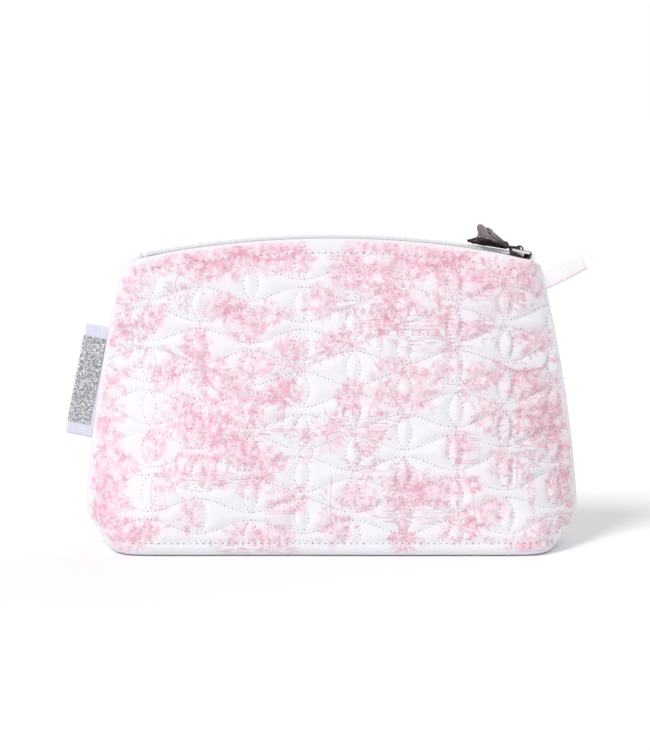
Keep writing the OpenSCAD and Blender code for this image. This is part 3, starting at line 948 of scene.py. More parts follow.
class BAG_OT_edge_stitching(bpy.types.Operator):
    """Sew the two long lines of stitches, below the zip and above the bottom edge"""

    bl_idname = "bag.edge_stitching"
    bl_label = "Edge Stitching"

    def execute(self, context):
        share = np.linspace(-1, 1, 400)
        top_x = 0.95 * share * (HALF_MOUTH + 1 * MM)
        u, _ = fractions(top_x, np.full_like(top_x, PANEL_H * 0.95))
        bottom_x = 0.9 * share * HALF_BASE_W
        lines = {
            "top": (top_x, edge_z(u) - TOP_STITCH_DROP),
            "bottom": (bottom_x, np.full_like(bottom_x, BOTTOM_STITCH_Z)),
        }
        for half, side in HALVES.items():
            for name, line in lines.items():
                sewn_lines(half, side, name + "_stitches", [line], EDGE_STITCH, 0.4 * MM, 0.34 * MM,
                           node=f"{half}_{name}_stitching")
        return {"FINISHED"}


# ---- The print ---------------------------------------------------------------------------------------

# Where the print's generic motifs stand, in millimetres seen from the front: x and z, then sizes and angles
LEAF_CLOUDS = (
    (-104, 24, 9, 12), (-101, 41, 8, 8), (-108, 55, 6, 6), (-96, 8, 10, 5), (-86, 14, 7, 5), (-112, 38, 5, 9),
    (-98, 124, 7, 6), (-91, 130, 5, 4), (-106, 80, 5, 5), (-64, 132, 7, 5), (-54, 134, 8, 5), (-42, 136, 8, 5),
    (-28, 137, 7, 6), (-15, 138, 6, 5), (-52, 116, 9, 6), (-41, 108, 9, 8), (-28, 114, 8, 5), (-64, 100, 7, 7),
    (-58, 88, 9, 6), (-36, 90, 8, 6), (-46, 78, 9, 6), (-72, 66, 9, 8), (-58, 64, 9, 7), (-40, 68, 9, 7),
    (-62, 51, 10, 6), (-44, 51, 9, 7), (-30, 45, 9, 6), (-22, 77, 7, 6), (-75, 38, 6, 6), (-58, 38, 7, 4),
    (-38, 34, 6, 4), (-68, 19, 5, 8), (-42, 11, 10, 4), (-27, 9, 8, 4), (7, 134, 7, 9), (20, 132, 8, 8),
    (34, 134, 8, 7), (46, 136, 8, 6), (57, 133, 9, 7), (68, 127, 8, 6), (30, 120, 9, 6), (50, 118, 8, 5),
    (26, 109, 8, 4), (52, 108, 8, 4), (64, 106, 6, 4), (8, 76, 7, 7), (24, 74, 8, 6), (38, 73, 7, 6),
    (28, 88, 9, 5), (55, 93, 4, 7), (17, 57, 9, 4), (59, 53, 6, 7), (12, 29, 8, 6), (34, 33, 9, 8),
    (48, 31, 9, 6), (62, 34, 8, 5), (33, 9, 8, 4), (90, 136, 6, 6), (97, 99, 8, 6), (90, 79, 8, 6),
    (103, 74, 7, 8), (92, 66, 8, 5), (101, 58, 7, 5), (106, 48, 6, 4), (108, 31, 7, 6), (98, 12, 8, 6),
    (88, 6, 7, 3), (112, 20, 5, 7), (-34, 143, 10, 4), (-50, 141, 8, 4), (-66, 138, 8, 4), (38, 142, 10, 4),
    (60, 139, 9, 4), (76, 133, 8, 6), (84, 122, 7, 8), (-104, 104, 6, 8), (-108, 66, 5, 8), (108, 62, 5, 8),
    (111, 44, 4, 8), (-112, 22, 5, 8), (0, 100, 6, 5), (-6, 120, 7, 7), (12, 104, 7, 5), (44, 84, 9, 6),
    (70, 84, 8, 6), (72, 66, 8, 7), (-20, 98, 7, 6), (-84, 110, 6, 6), (-80, 84, 7, 5), (-20, 28, 8, 6),
    (2, 14, 8, 6), (60, 14, 9, 7), (74, 22, 8, 6), (-84, 52, 6, 7), (80, 44, 7, 6), (0, 58, 5, 6),
    (-84, 134, 7, 3), (-75, 137, 7, 3), (-20, 144, 6, 3), (12, 145, 6, 3), (24, 144, 7, 3), (52, 141, 7, 3),
    (88, 131, 5, 4), (96, 124, 4, 6),
)
ROSES = (
    (-50, 52, 5), (-33, 43, 5), (-104, 20, 5), (-60, 84, 4), (12, 132, 5), (54, 135, 6), (36, 36, 6),
    (46, 31, 4), (33, 8, 4), (100, 63, 5), (-98, 6, 4), (8, 74, 4), (92, 80, 4), (-47, 116, 4), (-24, 79, 4),
    (108, 32, 4),
)
TREES = (
    (-40, 44, 52, -38), (-24, 58, 30, 8), (34, 4, 26, -4), (22, 96, 26, 10), (-99, 60, 46, 6), (94, 20, 36, 2),
)
BOUGHS = (
    (-82, 98, -28, 44), (-14, 92, 18, 20), (4, 47, -25, 22), (-2, 115, 8, 22), (60, 110, -28, 18),
    (-28, 60, -3, 26), (74, 56, 12, 14), (0, 38, -96, 26), (66, 30, -88, 20), (-72, 131, -100, 12),
    (88, 48, -100, 14), (-94, 116, -96, 18), (60, 84, -60, 8),
)
MOUNDS = (
    (-50, 40, 46), (-100, 14, 26), (36, 24, 52), (-36, 5, 42), (44, 103, 44), (16, 66, 36), (97, 55, 26),
    (98, 4, 26), (-48, 60, 40), (32, 113, 50),
)
URNS = ((-30, 58, 12), (16, 36, 11), (88, 88, 10), (-12, 44, 9))
SWAGS = ((-70, -44, 142), (-44, -14, 144), (28, 64, 143), (78, 104, 90))
FENCES = (
    (-98, 100, 9, 30), (72, 104, 12, 28), (-24, 12, 14, 16), (2, 116, 9, 26), (64, 42, 12, 14),
    (-80, 20, 9, 20),
)
# How far the back's cloth is shifted, the width after which it repeats, and the print's distance to the edges
BACK_SHIFT = 74
PRINT_SPAN = 226
PRINT_MARGIN = 1.2 * MM
GOLDEN_ANGLE = 2.39996
FEATHER_GAP = 0.7
BAR_GAP = 1.3
LEAF_GAP = 2.6


class Pen:
    """Collects the print's strokes: each a line of x and z points in millimetres, with a width and a tone."""

    def __init__(self, seed):
        self.random = random.Random(seed)
        self.strokes = []

    def stroke(self, points, width=1.0):
        self.strokes.append((np.asarray(points, float), width, self.random.random()))

    def bend(self, x, z, heading, reach, turn, steps=5):
        """Points along an arc that sets off at a heading and turns on its way, both in degrees."""
        points = [(x, z)]
        step = reach / steps
        for i in range(steps):
            way = math.radians(heading + turn * (i + 0.5) / steps)
            x, z = x + step * math.cos(way), z + step * math.sin(way)
            points.append((x, z))
        return points

    def leaf(self, x, z, heading, reach, width=0.8):
        """A pointed leaf with its vein."""
        fat = self.random.uniform(26, 40)
        one = self.bend(x, z, heading + fat, reach, -2 * fat, 3)
        two = self.bend(x, z, heading - fat, reach, 2 * fat, 3)
        self.stroke(one + two[-2::-1], width)
        self.stroke([(x, z), one[-1]], width * 0.6)

    def curl(self, x, z, heading, reach, width=0.8):
        """A curled line, turned to either side."""
        self.stroke(self.bend(x, z, heading, reach, self.random.choice((-1, 1)) * 230, 6), width)

    def feather(self, x, z, heading, reach, width):
        """A few fine strokes side by side, as an engraver shades."""
        way = math.radians(heading + 90)
        turn = self.random.uniform(-50, 50)
        for i in range(4):
            off = FEATHER_GAP * (i - 1.5)
            px, pz = x + off * math.cos(way), z + off * math.sin(way)
            line = self.bend(px, pz, heading + 7 * i, reach * self.random.uniform(0.6, 1.2), turn, 3)
            self.stroke(line, width)

    def fence(self, x, z, width, height):
        """Upright bars with rails across them."""
        left = x - width / 2
        for i in range(int(width / BAR_GAP)):
            px = left + BAR_GAP * i + self.random.uniform(-0.2, 0.2)
            self.stroke(self.bend(px, z, 90, height * self.random.uniform(0.8, 1), 2, 8), 0.6)
        for share in (0.12, 0.2, 0.55, 0.62, 0.86, 0.92):
            self.stroke(self.bend(left, z + share * height, 0, width, self.random.uniform(-4, 4), 5), 0.9)

    def spray(self, x, z, heading, reach, turn=20, width=0.7):
        """A stem with leaves on both sides."""
        count = max(2, round(reach / LEAF_GAP))
        stem = self.bend(x, z, heading, reach, turn, count)
        self.stroke(stem, width)
        for i, (px, pz) in enumerate(stem[1:]):
            way = heading + turn * (i + 1) / count
            for side in (-1, 1):
                self.leaf(px, pz, way + side * 48, self.random.uniform(2.0, 3.2), width * 0.8)

    def cloud(self, x, z, rx, rz):
        """A cloud of foliage: strokes that fan out from its middle, heavier to its lower right."""
        count = int(rx * rz * 0.76)
        for i in range(count):
            share = math.sqrt((i + 0.5) / count)
            way = i * GOLDEN_ANGLE
            px = x + rx * share * math.cos(way) + self.random.uniform(-1.6, 1.6)
            pz = z + rz * share * math.sin(way) + self.random.uniform(-1.6, 1.6)
            shade = 0.5 + 0.5 * (math.cos(way) - math.sin(way)) / 1.5 * share
            width = 0.5 + 0.62 * shade
            out = math.degrees(math.atan2(pz - z + 2, px - x)) + self.random.uniform(-35, 35)
            kind = self.random.random()
            if kind < 0.22:
                self.leaf(px, pz, out, self.random.uniform(2.2, 3.4), width)
            elif kind < 0.5:
                self.curl(px, pz, out, self.random.uniform(2.4, 4.4), width)
            else:
                self.feather(px, pz, out * 0.5 - 50, self.random.uniform(1.8, 4.2), width)

    def rose(self, x, z, r):
        """A rose: petals in rings round a curled heart, with leaves behind it."""
        for side in range(5):
            self.leaf(x + r * math.cos(side * 1.26 + 0.5), z + r * math.sin(side * 1.26 + 0.5),
                      side * 72 + 28, r * 0.9, 1.1)
        for share, count in ((1.0, 6), (0.68, 5), (0.38, 3)):
            for i in range(count):
                way = math.tau * i / count + share * 2
                px, pz = x + r * share * math.cos(way), z + r * share * math.sin(way)
                self.stroke(self.bend(px, pz, math.degrees(way) + 62, r * share * 1.35, 125, 5), 1.15)
        self.stroke(self.bend(x, z, 0, r * 1.1, 420, 8), 1.1)

    def tree(self, x, z, height, lean):
        """A leaning trunk of bark lines, with hatching, boughs and sprays at its crown."""
        for offset in (-1.3, -0.5, 0.4, 1.2):
            self.stroke(self.bend(x + offset, z, 90 - lean * 0.4, height * 0.95, -lean * 1.1, 10), 0.9)
        spine = self.bend(x, z, 90 - lean * 0.4, height * 0.95, -lean * 1.1, 22)
        for i, (px, pz) in enumerate(spine[:-2]):
            self.stroke(self.bend(px - 0.2, pz, -20, 1.6, 40, 2), 0.7)
            if i > 8 and i % 3 == 0:
                side = 1 if i % 2 else -1
                self.spray(px, pz, 90 - lean + side * 55, height * 0.3, -side * 30)
        for way in (-50, -20, 15, 50):
            self.spray(*spine[-1], 90 - lean * 1.5 + way, height * 0.32, way * 0.4)

    def bough(self, x, z, heading, reach):
        """A bare bough of two lines, with small sprays."""
        self.stroke(self.bend(x, z, heading, reach, 14, 10), 1.25)
        self.stroke(self.bend(x, z - 0.8, heading, reach * 0.9, 12, 10), 0.8)
        for i, (px, pz) in enumerate(self.bend(x, z, heading, reach, 14, 6)[1:]):
            self.spray(px, pz, heading + (52 if i % 2 else -52), 5.5, 25, 0.8)

    def mound(self, x, z, span):
        """Rough ground: broken shading lines that shorten downwards, with tufts of grass on top."""
        for i in range(9):
            row_span = span * (1 - 0.07 * i) / 2
            left = x - row_span
            while left < x + row_span:
                reach = self.random.uniform(3, 8)
                line = self.bend(left, z - 0.95 * i + self.random.uniform(-0.5, 0.5), 6, reach, -14, 4)
                self.stroke(line, self.random.uniform(0.6, 1.2))
                left += reach + self.random.uniform(0.8, 3)
        for i in range(int(span / 4)):
            px = x - span / 2 + 4 * i + self.random.uniform(-1, 1)
            for way in (110, 92, 70):
                self.stroke(self.bend(px, z, way, self.random.uniform(2.5, 4.5), 90 - way, 3), 0.8)

    def urn(self, x, z, height):
        """A garden urn on a foot, hatched on its right side."""
        profile = (
            (0.30, 0), (0.30, 0.06), (0.12, 0.14), (0.10, 0.24), (0.34, 0.42), (0.40, 0.62), (0.26, 0.80),
            (0.24, 0.88), (0.40, 0.96), (0.40, 1.0),
        )
        for side in (-1, 1):
            self.stroke([(x + side * w * height, z + h * height) for w, h in profile], 1.1)
        for w, h in profile[1::2]:
            self.stroke([(x - w * height, z + h * height), (x + w * height, z + h * height)], 0.9)
        for i in range(6):
            h = 0.42 + 0.06 * i
            self.stroke([(x + 0.05 * height, z + h * height), (x + 0.36 * height, z + h * height)], 0.6)
        for way in (60, 90, 120, 35, 145):
            self.spray(x, z + height, way, height * 0.6, (90 - way) * 0.3)

    def swag(self, left, right, z):
        """A garland that hangs between two knots."""
        span = right - left
        for i in range(15):
            t = i / 14
            px, pz = left + span * t, z - 4 * span * 0.2 * t * (1 - t)
            for way in (180, 0, 270):
                self.leaf(px, pz, way + self.random.uniform(-30, 30), 2.6, 0.7)
        for end in (left, right):
            for way in (200, 250, 290, 340):
                self.curl(end, z, way, 5, 1.0)


def draw_print():
    """Every stroke of the print, on a cloth that shows trees, ground, urns, roses and garlands."""
    pen = Pen(7)
    for motif, rows in (
        (pen.fence, FENCES), (pen.mound, MOUNDS), (pen.tree, TREES), (pen.bough, BOUGHS), (pen.urn, URNS),
        (pen.swag, SWAGS), (pen.rose, ROSES), (pen.cloud, LEAF_CLOUDS),
    ):
        for row in rows:
            motif(*row)
    return pen.strokes


def cloth_x(x, side):
    """Where a stroke's x lies on a half: the back shows the cloth turned round and shifted."""
    return x if side == FRONT else wrap(BACK_SHIFT - x, PRINT_SPAN)


def wash_at(x, z, side):
    """Density of the print in the cloth, from 0 to 1."""
    density = np.zeros_like(x)
    for cx, cz, rx, rz in LEAF_CLOUDS:
        off_x, off_z = (x - cloth_x(cx, side)) / (rx * 1.1), (z - cz) / (rz * 1.1)
        density += 0.8 * np.exp(-(off_x**2) - off_z**2)
    return np.clip(density, 0, 1)


def print_strips(side):
    """The print's strokes as narrow strips just off the cloth, and each point's tone."""
    skin = Skin.of(side)
    lines, widths, tones, lengths = [], [], [], []
    for points, width, tone in draw_print():
        line = points.copy()
        if side == BACK:
            middle = points[:, 0].mean()
            line[:, 0] = cloth_x(middle, side) - (points[:, 0] - middle)
        line *= MM
        x, z = line.T
        u, v = fractions(x, z)
        beside = np.abs(x) > SEAM_KEEP * half_w(v)
        if (beside | (z < PRINT_MARGIN) | (z > edge_z(u) - PRINT_MARGIN)).any():
            continue
        lines.append(line)
        taper = np.full(len(line), width)
        taper[[0, -1]] *= 0.45
        widths.append(taper * sizes().ink_w)
        tones.append(np.full(len(line), tone))
        lengths.append(len(line))
    line = np.concatenate(lines)
    width = np.concatenate(widths)
    ahead = np.concatenate([np.gradient(part, axis=0) for part in lines])
    ahead /= np.maximum(np.linalg.norm(ahead, axis=1, keepdims=True), 1e-9)
    across = np.stack([-ahead[:, 1], ahead[:, 0]], axis=-1) * width[:, None] / 2
    edges = [skin.at(*(line + way * across).T, 0.09 * MM)[0] for way in (-1, 1)]
    return np.stack(edges), np.concatenate(tones), lengths


class BAG_OT_print(bpy.types.Operator):
    """Print the cotton of both halves with foliage, roses, trees, fences and garden urns"""

    bl_idname = "bag.print"
    bl_label = "Print"

    def execute(self, context):
        material = ink_finish()
        for half, side in HALVES.items():
            points, tones, lengths = print_strips(side)
            bm = bmesh.new()
            verts = grid_of(bm, points)
            bm.faces.ensure_lookup_table()
            gaps = np.cumsum(lengths)[:-1] - 1
            bmesh.ops.delete(bm, geom=[bm.faces[i] for i in gaps], context="FACES_ONLY")
            loose = [edge for edge in bm.edges if not edge.link_faces]
            bmesh.ops.delete(bm, geom=loose, context="EDGES")
            piece = add_piece(half + "_print", bm, material)
            paint(piece, "tone", np.tile(tones, 2))
            join_half(piece)
            if len(verts) != len(piece.data.vertices):
                raise RuntimeError("the print lost vertices")
        return {"FINISHED"}


# ---- Side seams, label and loop ----------------------------------------------------------------------


class BAG_OT_bindings(bpy.types.Operator):
    """Make the binding tapes inside the side seams"""

    bl_idname = "bag.bindings"
    bl_label = "Seam Bindings"

    def execute(self, context):
        material = tape_finish("binding_tape", (0.82, 0.81, 0.85), 0.5 * MM)
        for name, side in (("left", -1), ("right", 1)):
            node = name + "_seam_binding"
            low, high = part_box(node)
            z = np.linspace(low.z, high.z, 50)
            seam = half_w(z / SEAM_H) - 0.5 * MM
            depth = np.array([0, 1, 2.5, 4, 5.2, 6]) * MM
            fold = [(d, 0.18 * MM) for d in depth] + [(6.1 * MM, 0)] + [(d, -0.18 * MM) for d in depth[::-1]]
            points = np.array([[(side * (s - d), y, h) for d, y in fold] for s, h in zip(seam, z)])
            piece = add_piece(node + "_tape", cloth_sheet(points, 0.12 * MM), material)
            declare(piece, "binding_tape", "base", node)
        return {"FINISHED"}


LABEL_Z = 78 * MM
LABEL_LEAN = math.radians(11.5)
LABEL_L = 54 * MM
LABEL_OUT = 11.4 * MM
LABEL_ROOT = 3 * MM
GLITTER_L = 42 * MM
LOOP_Z = 125 * MM
LOOP_RISE = math.radians(27)
LOOP_L = 24 * MM
LOOP_W = 7 * MM
LOOP_ROOT = 3 * MM


def on_seam(x, z, lean):
    """The matrix that puts a piece on a side seam, at a height and with a lean."""
    return Matrix.Translation((x, 0, z)) @ Matrix.Rotation(lean, 4, "Y")


def label_points(reach, half_gap, span, root, steps_z, steps_x):
    """A strip folded flat round a far edge, as a grid of points in the bag's frame."""
    place = on_seam(-float(half_w(LABEL_Z / SEAM_H)), LABEL_Z, LABEL_LEAN)
    flat = np.linspace(root, -reach + half_gap, steps_x)
    path = [(x, half_gap) for x in flat]
    path += arc(-reach + half_gap, 0, half_gap, half_gap, np.linspace(90, 270, 9)[1:-1])
    path += [(x, -half_gap) for x in flat[::-1]]
    rows = []
    for z in np.linspace(-span / 2, span / 2, steps_z):
        bow = 0.5 * MM * math.cos(math.pi * z / LABEL_L)
        rows.append([place @ Vector((x, y + bow * (root - x) / reach, z)) for x, y in path])
    return np.array(rows)


class BAG_OT_label(bpy.types.Operator):
    """Make the folded ribbon label with its glitter patch"""

    bl_idname = "bag.label"
    bl_label = "Side Label"

    def execute(self, context):
        points = label_points(LABEL_OUT, 0.3 * MM, LABEL_L, LABEL_ROOT, 55, 15)
        satin = satin_finish("satin_ribbon", tuple(colours().ribbon))
        ribbon = add_piece("ribbon_label", cloth_sheet(points, 0.2 * MM), satin)
        glitter_points = label_points(LABEL_OUT + 0.25 * MM, 0.52 * MM, GLITTER_L, -0.8 * MM, 106, 24)
        rough = random.Random(11)
        bm = cloth_sheet(glitter_points, 0.16 * MM)
        bm.normal_update()
        for vert in bm.verts:
            vert.co += vert.normal * rough.uniform(0, 0.09 * MM)
        patch = add_piece("glitter_patch", bm, glitter_finish())
        declare(ribbon, "satin_ribbon", "base", "side_label")
        declare(patch, "silver_glitter", "base", "label_glitter")
        return {"FINISHED"}


class BAG_OT_loop(bpy.types.Operator):
    """Make the hanging loop in the right side seam"""

    bl_idname = "bag.loop"
    bl_label = "Hanging Loop"

    def execute(self, context):
        place = on_seam(float(half_w(LOOP_Z / SEAM_H)) - LOOP_ROOT, LOOP_Z, -LOOP_RISE)
        run = np.linspace(0, LOOP_L - 0.6 * MM, 26)
        free = np.clip((run - LOOP_ROOT) / (LOOP_L - LOOP_ROOT), 0, 1)
        gap = 0.28 * MM + 1.4 * MM * np.sin(np.pi * free) ** 2
        path = list(zip(run, gap))
        path += arc(run[-1], 0, gap[-1], gap[-1], np.linspace(90, -90, 9)[1:-1])
        path += list(zip(run[::-1], -gap[::-1]))
        rows = []
        for t in np.linspace(-0.5, 0.5, 15):
            bulge = 0.25 * MM * math.cos(math.pi * t)
            rows.append([place @ Vector((x, y + (bulge if y > 0 else -bulge), t * LOOP_W)) for x, y in path])
        piece = add_piece("hanging_loop_band", cloth_sheet(np.array(rows), 0.45 * MM), loop_finish())
        back = place.inverted()
        paint(piece, "across", [(back @ vert.co).z / LOOP_W + 0.5 for vert in piece.data.vertices])
        declare(piece, "loop_cotton", "base", "hanging_loop")
        return {"FINISHED"}


# ---- Zip ---------------------------------------------------------------------------------------------


class BAG_OT_zip_tapes(bpy.types.Operator):
    """Make the two woven zip tapes"""

    bl_idname = "bag.zip_tapes"
    bl_label = "Zip Tapes"

    def execute(self, context):
        material = tape_finish("zip_tape", tuple(colours().tape))
        end = HALF_MOUTH - 4.5 * MM
        for half, side in HALVES.items():
            rows = []
            for x in np.linspace(-end, end, 190):
                narrow = float(smoothstep((abs(x) - (HALF_MOUTH - 15 * MM)) / (6 * MM)))
                tuck = float(smoothstep((abs(x) - (HALF_MOUTH - 28 * MM)) / (6 * MM)))
                part = float(smoothstep((x - SLIDER_X - 1 * MM) / (3 * MM)))
                inner = 0.35 * MM + 1.6 * MM * part
                outer = TAPE_SHOWN * (1 - 0.34 * narrow)
                leg = TAPE_HIDDEN * (1 - tuck)
                y = [*np.linspace(inner, outer - 0.5 * MM, 9), outer - 0.12 * MM, outer]
                r = [TAPE_TOP_R] * 9 + [TAPE_TOP_R - 0.15 * MM, TAPE_TOP_R - 0.5 * MM]
                for t in np.linspace(0.15, 1, 6):
                    y.append(outer + TAPE_LEAN * t * (1 - tuck))
                    r.append(TAPE_TOP_R - 0.5 * MM - leg * t)
                rows.append([on_arch(x, radius, side * across) for across, radius in zip(y, r)])
            tape = cloth_sheet(np.array(rows), TAPE_T, Vector((0, 0, 1)))
            piece = add_piece(half + "_tape", tape, material)
            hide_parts(half + "_zip_tape")
            join_half(piece)
        return {"FINISHED"}


class BAG_OT_zip_coils(bpy.types.Operator):
    """Wind the two nylon coils of the zip"""

    bl_idname = "bag.zip_coils"
    bl_label = "Zip Coils"

    def execute(self, context):
        material = coil_finish()
        wire_r = 0.31 * MM
        turn_steps = 14
        for half, side in HALVES.items():
            start = ZIP_START_X + (0 if side == FRONT else COIL_PITCH / 2)
            turns = int((SLIDER_X - start) / COIL_PITCH)
            t = np.arange(turns * turn_steps + 1) / turn_steps
            around = t * math.tau
            y = side * (COIL_W / 2 - COIL_LAP + (COIL_W / 2 - wire_r) * np.cos(around))
            radius = COIL_R + (COIL_H / 2 - wire_r) * np.sin(around)
            hook = 0.22 * COIL_PITCH * np.sin(around * 2)
            points = on_arch(start + COIL_PITCH * t + hook, radius)
            points[:, 1] = y
            bm = bmesh.new()
            wire(bm, points.tolist(), wire_r, sides=1)
            cord_x = np.linspace(start, start + COIL_PITCH * turns, 120)
            cord = on_arch(cord_x, COIL_R - 0.1 * MM, side * (COIL_W - COIL_LAP - 1.1 * MM))
            wire(bm, cord.tolist(), 0.42 * MM, sides=1)
            piece = add_piece(half + "_coil", bm, material)
            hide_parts(half + "_zip_coil")
            join_half(piece)
        return {"FINISHED"}


class BAG_OT_stops(bpy.types.Operator):
    """Make the zip's top and bottom stops"""

    bl_idname = "bag.stops"
    bl_label = "Zip Stops"

    def execute(self, context):
        material = lacquer_finish("stop_metal", (0.88, 0.88, 0.92))
        for node in ("zip_top_stops", "zip_bottom_stop"):
            low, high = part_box(node)
            bm = bmesh.new()
            spans = [(low.y, high.y)]
            if node == "zip_top_stops":
                inner = 1.95 * MM
                spans = [(low.y, -inner), (inner, high.y)]
            for near, far in spans:
                outline = [(low.x, near), (high.x, near), (high.x, far), (low.x, far)]
                prism(bm, outline, low.z, high.z, 0.45 * MM, 3)
            piece = add_piece(node + "_clamp", bm, material, 35)
            declare(piece, "stop_metal", "base", node)
        return {"FINISHED"}


SLIDER_TAIL = SLIDER_W * 0.42
NOSE_R = 2.6 * MM
TAIL_R = 1.8 * MM


def plate_outline():
    """Outline of a slider plate: a broad nose, straight sides and a narrower tail, all rounded."""
    half = SLIDER_L / 2
    upper = arc(TAIL_R - half, SLIDER_TAIL - TAIL_R, TAIL_R, TAIL_R, [180, 150, 120, 90])
    upper += arc(half - NOSE_R, SLIDER_W / 2 - NOSE_R, NOSE_R, NOSE_R, [90, 60, 30, 0])
    return upper[::-1] + [(x, -y) for x, y in upper]


class BAG_OT_slider(bpy.types.Operator):
    """Make the zip's slider: two plates, a post, flanges and the bridge"""

    bl_idname = "bag.slider"
    bl_label = "Slider"

    def execute(self, context):
        up, down = PLATE_LOW, -(COIL_H / 2 + 1.5 * MM)
        bm = bmesh.new()
        prism(bm, plate_outline(), up, up + PLATE_T, 0.3 * MM, 3)
        prism(bm, plate_outline(), down - PLATE_T, down, 0.3 * MM, 3)
        inner = COIL_W - COIL_LAP + 0.15 * MM
        for side in (FRONT, BACK):
            x0, x1 = -SLIDER_L / 2 + 0.6 * MM, SLIDER_L * 0.12 + 0.6 * MM
            near, far = side * inner, side * SLIDER_TAIL
            outline = [(x0, near), (x1, near), (x1, far), (x0, far)]
            prism(bm, outline, -(COIL_H / 2 - 0.2 * MM), up + 0.3 * MM, 0.15 * MM)
            prism(bm, outline, down - 0.3 * MM, down + 0.3 * MM, 0.15 * MM)
        post = [(2.2, 0), (3.6, -1.2), (5.1, -1.0), (5.4, 0), (5.1, 1.0), (3.6, 1.2)]
        prism(bm, [(x * MM, y * MM) for x, y in post], down, up, 0.2 * MM)
        bridge = arc(-0.5 * MM, up + PLATE_T - 0.2 * MM, 1.75 * MM, 1.9 * MM, np.linspace(0, 180, 13))
        for y in np.linspace(-0.5, 0.5, 3):
            wire(bm, [(x, y * MM, z) for x, z in bridge], 0.34 * MM, sides=2)
        # Painted highlight: the top plate's vertices, away from its ends, are marked to be painted pale.
        slack = 0.05 * MM
        painted_highlight = [
            float(up - slack < vert.co.z < up + PLATE_T + slack and abs(vert.co.x) < SLIDER_L / 2 - 1.2 * MM)
            for vert in bm.verts
        ]
        bmesh.ops.transform(bm, matrix=slider_frame(), verts=bm.verts)
        # Polished nickel whose near-black colour is a painted dark reflection, with the painted highlight mixed
        # in on the top plate.
        finish = metal_finish("polished_nickel", tuple(colours().metal), 0.2, polished=(0.95, 0.94, 0.95))
        piece = add_piece("slider", bm, finish, 32)
        paint(piece, "painted_highlight", painted_highlight)
        declare(piece, "polished_nickel", "slider", "slider_body")
        return {"FINISHED"}


# ---- Butterfly pull ----------------------------------------------------------------------------------

# A wing's outline in millimetres: x from the eye along the body, y out from it
HIND_WING = (
    (0.2, 0.3), (0.2, 2.8), (2.6, 3.4), (4.6, 4.2), (6.3, 5.7), (7.7, 7.2), (9, 8.5), (10.4, 8.9), (11.6, 8.4),
    (11.6, 4), (11, 0.3),
)
FORE_WING = (
    (10.6, 0.3), (11, 4.5), (11.6, 8.4), (13.2, 9.8), (14.8, 10), (15.8, 9), (16, 7), (15.3, 5), (15.3, 3.2),
    (16.8, 2.1), (18.6, 0.9), (18.4, 0.3),
)
# A lobe's veins: where they start, and where each one ends
HIND_VEINS = ((10.4, 0.8), ((3.0, 3.0), (6.6, 5.6), (9.4, 8.2)))
FORE_VEINS = ((11.6, 0.8), ((12.6, 8.8), (14.4, 9.4), (15.4, 7.4)))
WING_T = 0.9
FIELD_SUNK = 0.22
WING_LIFT = math.radians(40)
PULL_ROLL = math.radians(18)
PULL_DIP = math.radians(1.5)
# Heights in millimetres over the slider: of the eye, and of the body below the eye
EYE_UP = 3.05
BODY_DROP = 0.85
NECK = 5.3


def smooth_loop(points, steps=5):
    """A closed curve through points."""
    count = len(points)
    curve = []
    for i in range(count):
        a, b, c, d = (Vector(points[(i + k - 1) % count]) for k in range(4))
        for step in range(steps):
            t = step / steps
            square = (2 * a - 5 * b + 4 * c - d) * t * t
            cube = (3 * b - a - 3 * c + d) * t**3
            curve.append(tuple(0.5 * ((2 * b) + (c - a) * t + square + cube)))
    return curve


def wing_part(bm, outline):
    """One lobe of a wing: a plate with a raised rim round a sunk field, on both faces."""
    solid = faces_of(extruded(bm, smooth_loop(outline), -WING_T / 2, WING_T / 2))
    flats = [f for f in solid if len(f.verts) > 4]
    edges = list({edge for f in flats for edge in f.edges})
    bmesh.ops.bevel(bm, geom=edges, offset=0.22, affect="EDGES", segments=2, profile=0.5, material=-1)
    flats = [f for f in bm.faces if f.is_valid and len(f.verts) > 12 and abs(f.normal.z) > 0.9]
    for flat in flats:
        if all(flat.calc_center_median().to_2d()[i] > 0 for i in (0, 1)):
            bmesh.ops.inset_region(bm, faces=[flat], thickness=0.55, depth=0)
            bmesh.ops.inset_region(bm, faces=[flat], thickness=0.18, depth=-FIELD_SUNK)


def wing():
    """A whole wing in millimetres, with veins across its sunk fields."""
    made = bmesh.new()
    wing_part(made, HIND_WING)
    wing_part(made, FORE_WING)
    for start, ends in (HIND_VEINS, FORE_VEINS):
        for end in ends:
            middle = [mix(start[0], end[0], 0.5) + 0.3, mix(start[1], end[1], 0.5)]
            for face_z in (-WING_T / 2 + 0.18, WING_T / 2 - 0.18):
                wire(made, [(*start, face_z), (*middle, face_z), (*end, face_z)], 0.15, sides=1)
    return made


def lathe(bm, profile, steps=20):
    """Adds a body turned about X from x and radius points, closed at its ends."""
    verts = [bm.verts.new((x, 0, radius)) for x, radius in profile]
    edges = [bm.edges.new(pair) for pair in zip(verts, verts[1:])]
    bmesh.ops.spin(
        bm, geom=verts + edges, axis=(1, 0, 0), cent=(0, 0, 0), dvec=(0, 0, 0), angle=math.tau, steps=steps,
        use_merge=True, use_duplicate=False,
    )
    bmesh.ops.remove_doubles(bm, verts=bm.verts, dist=1e-5)


def wing_painted_highlight(points):
    """How pale each point of the pull is: a painted highlight on the wings' upper faces, growing towards their
    tips, while the undersides and the body stay near-black.
    """
    out = np.abs(points[:, 1]) * math.cos(WING_LIFT) + points[:, 2] * math.sin(WING_LIFT)
    above = points[:, 2] * math.cos(WING_LIFT) - np.abs(points[:, 1]) * math.sin(WING_LIFT)
    return np.where(above > 0, smoothstep((out - 0.5) / 5), 0)


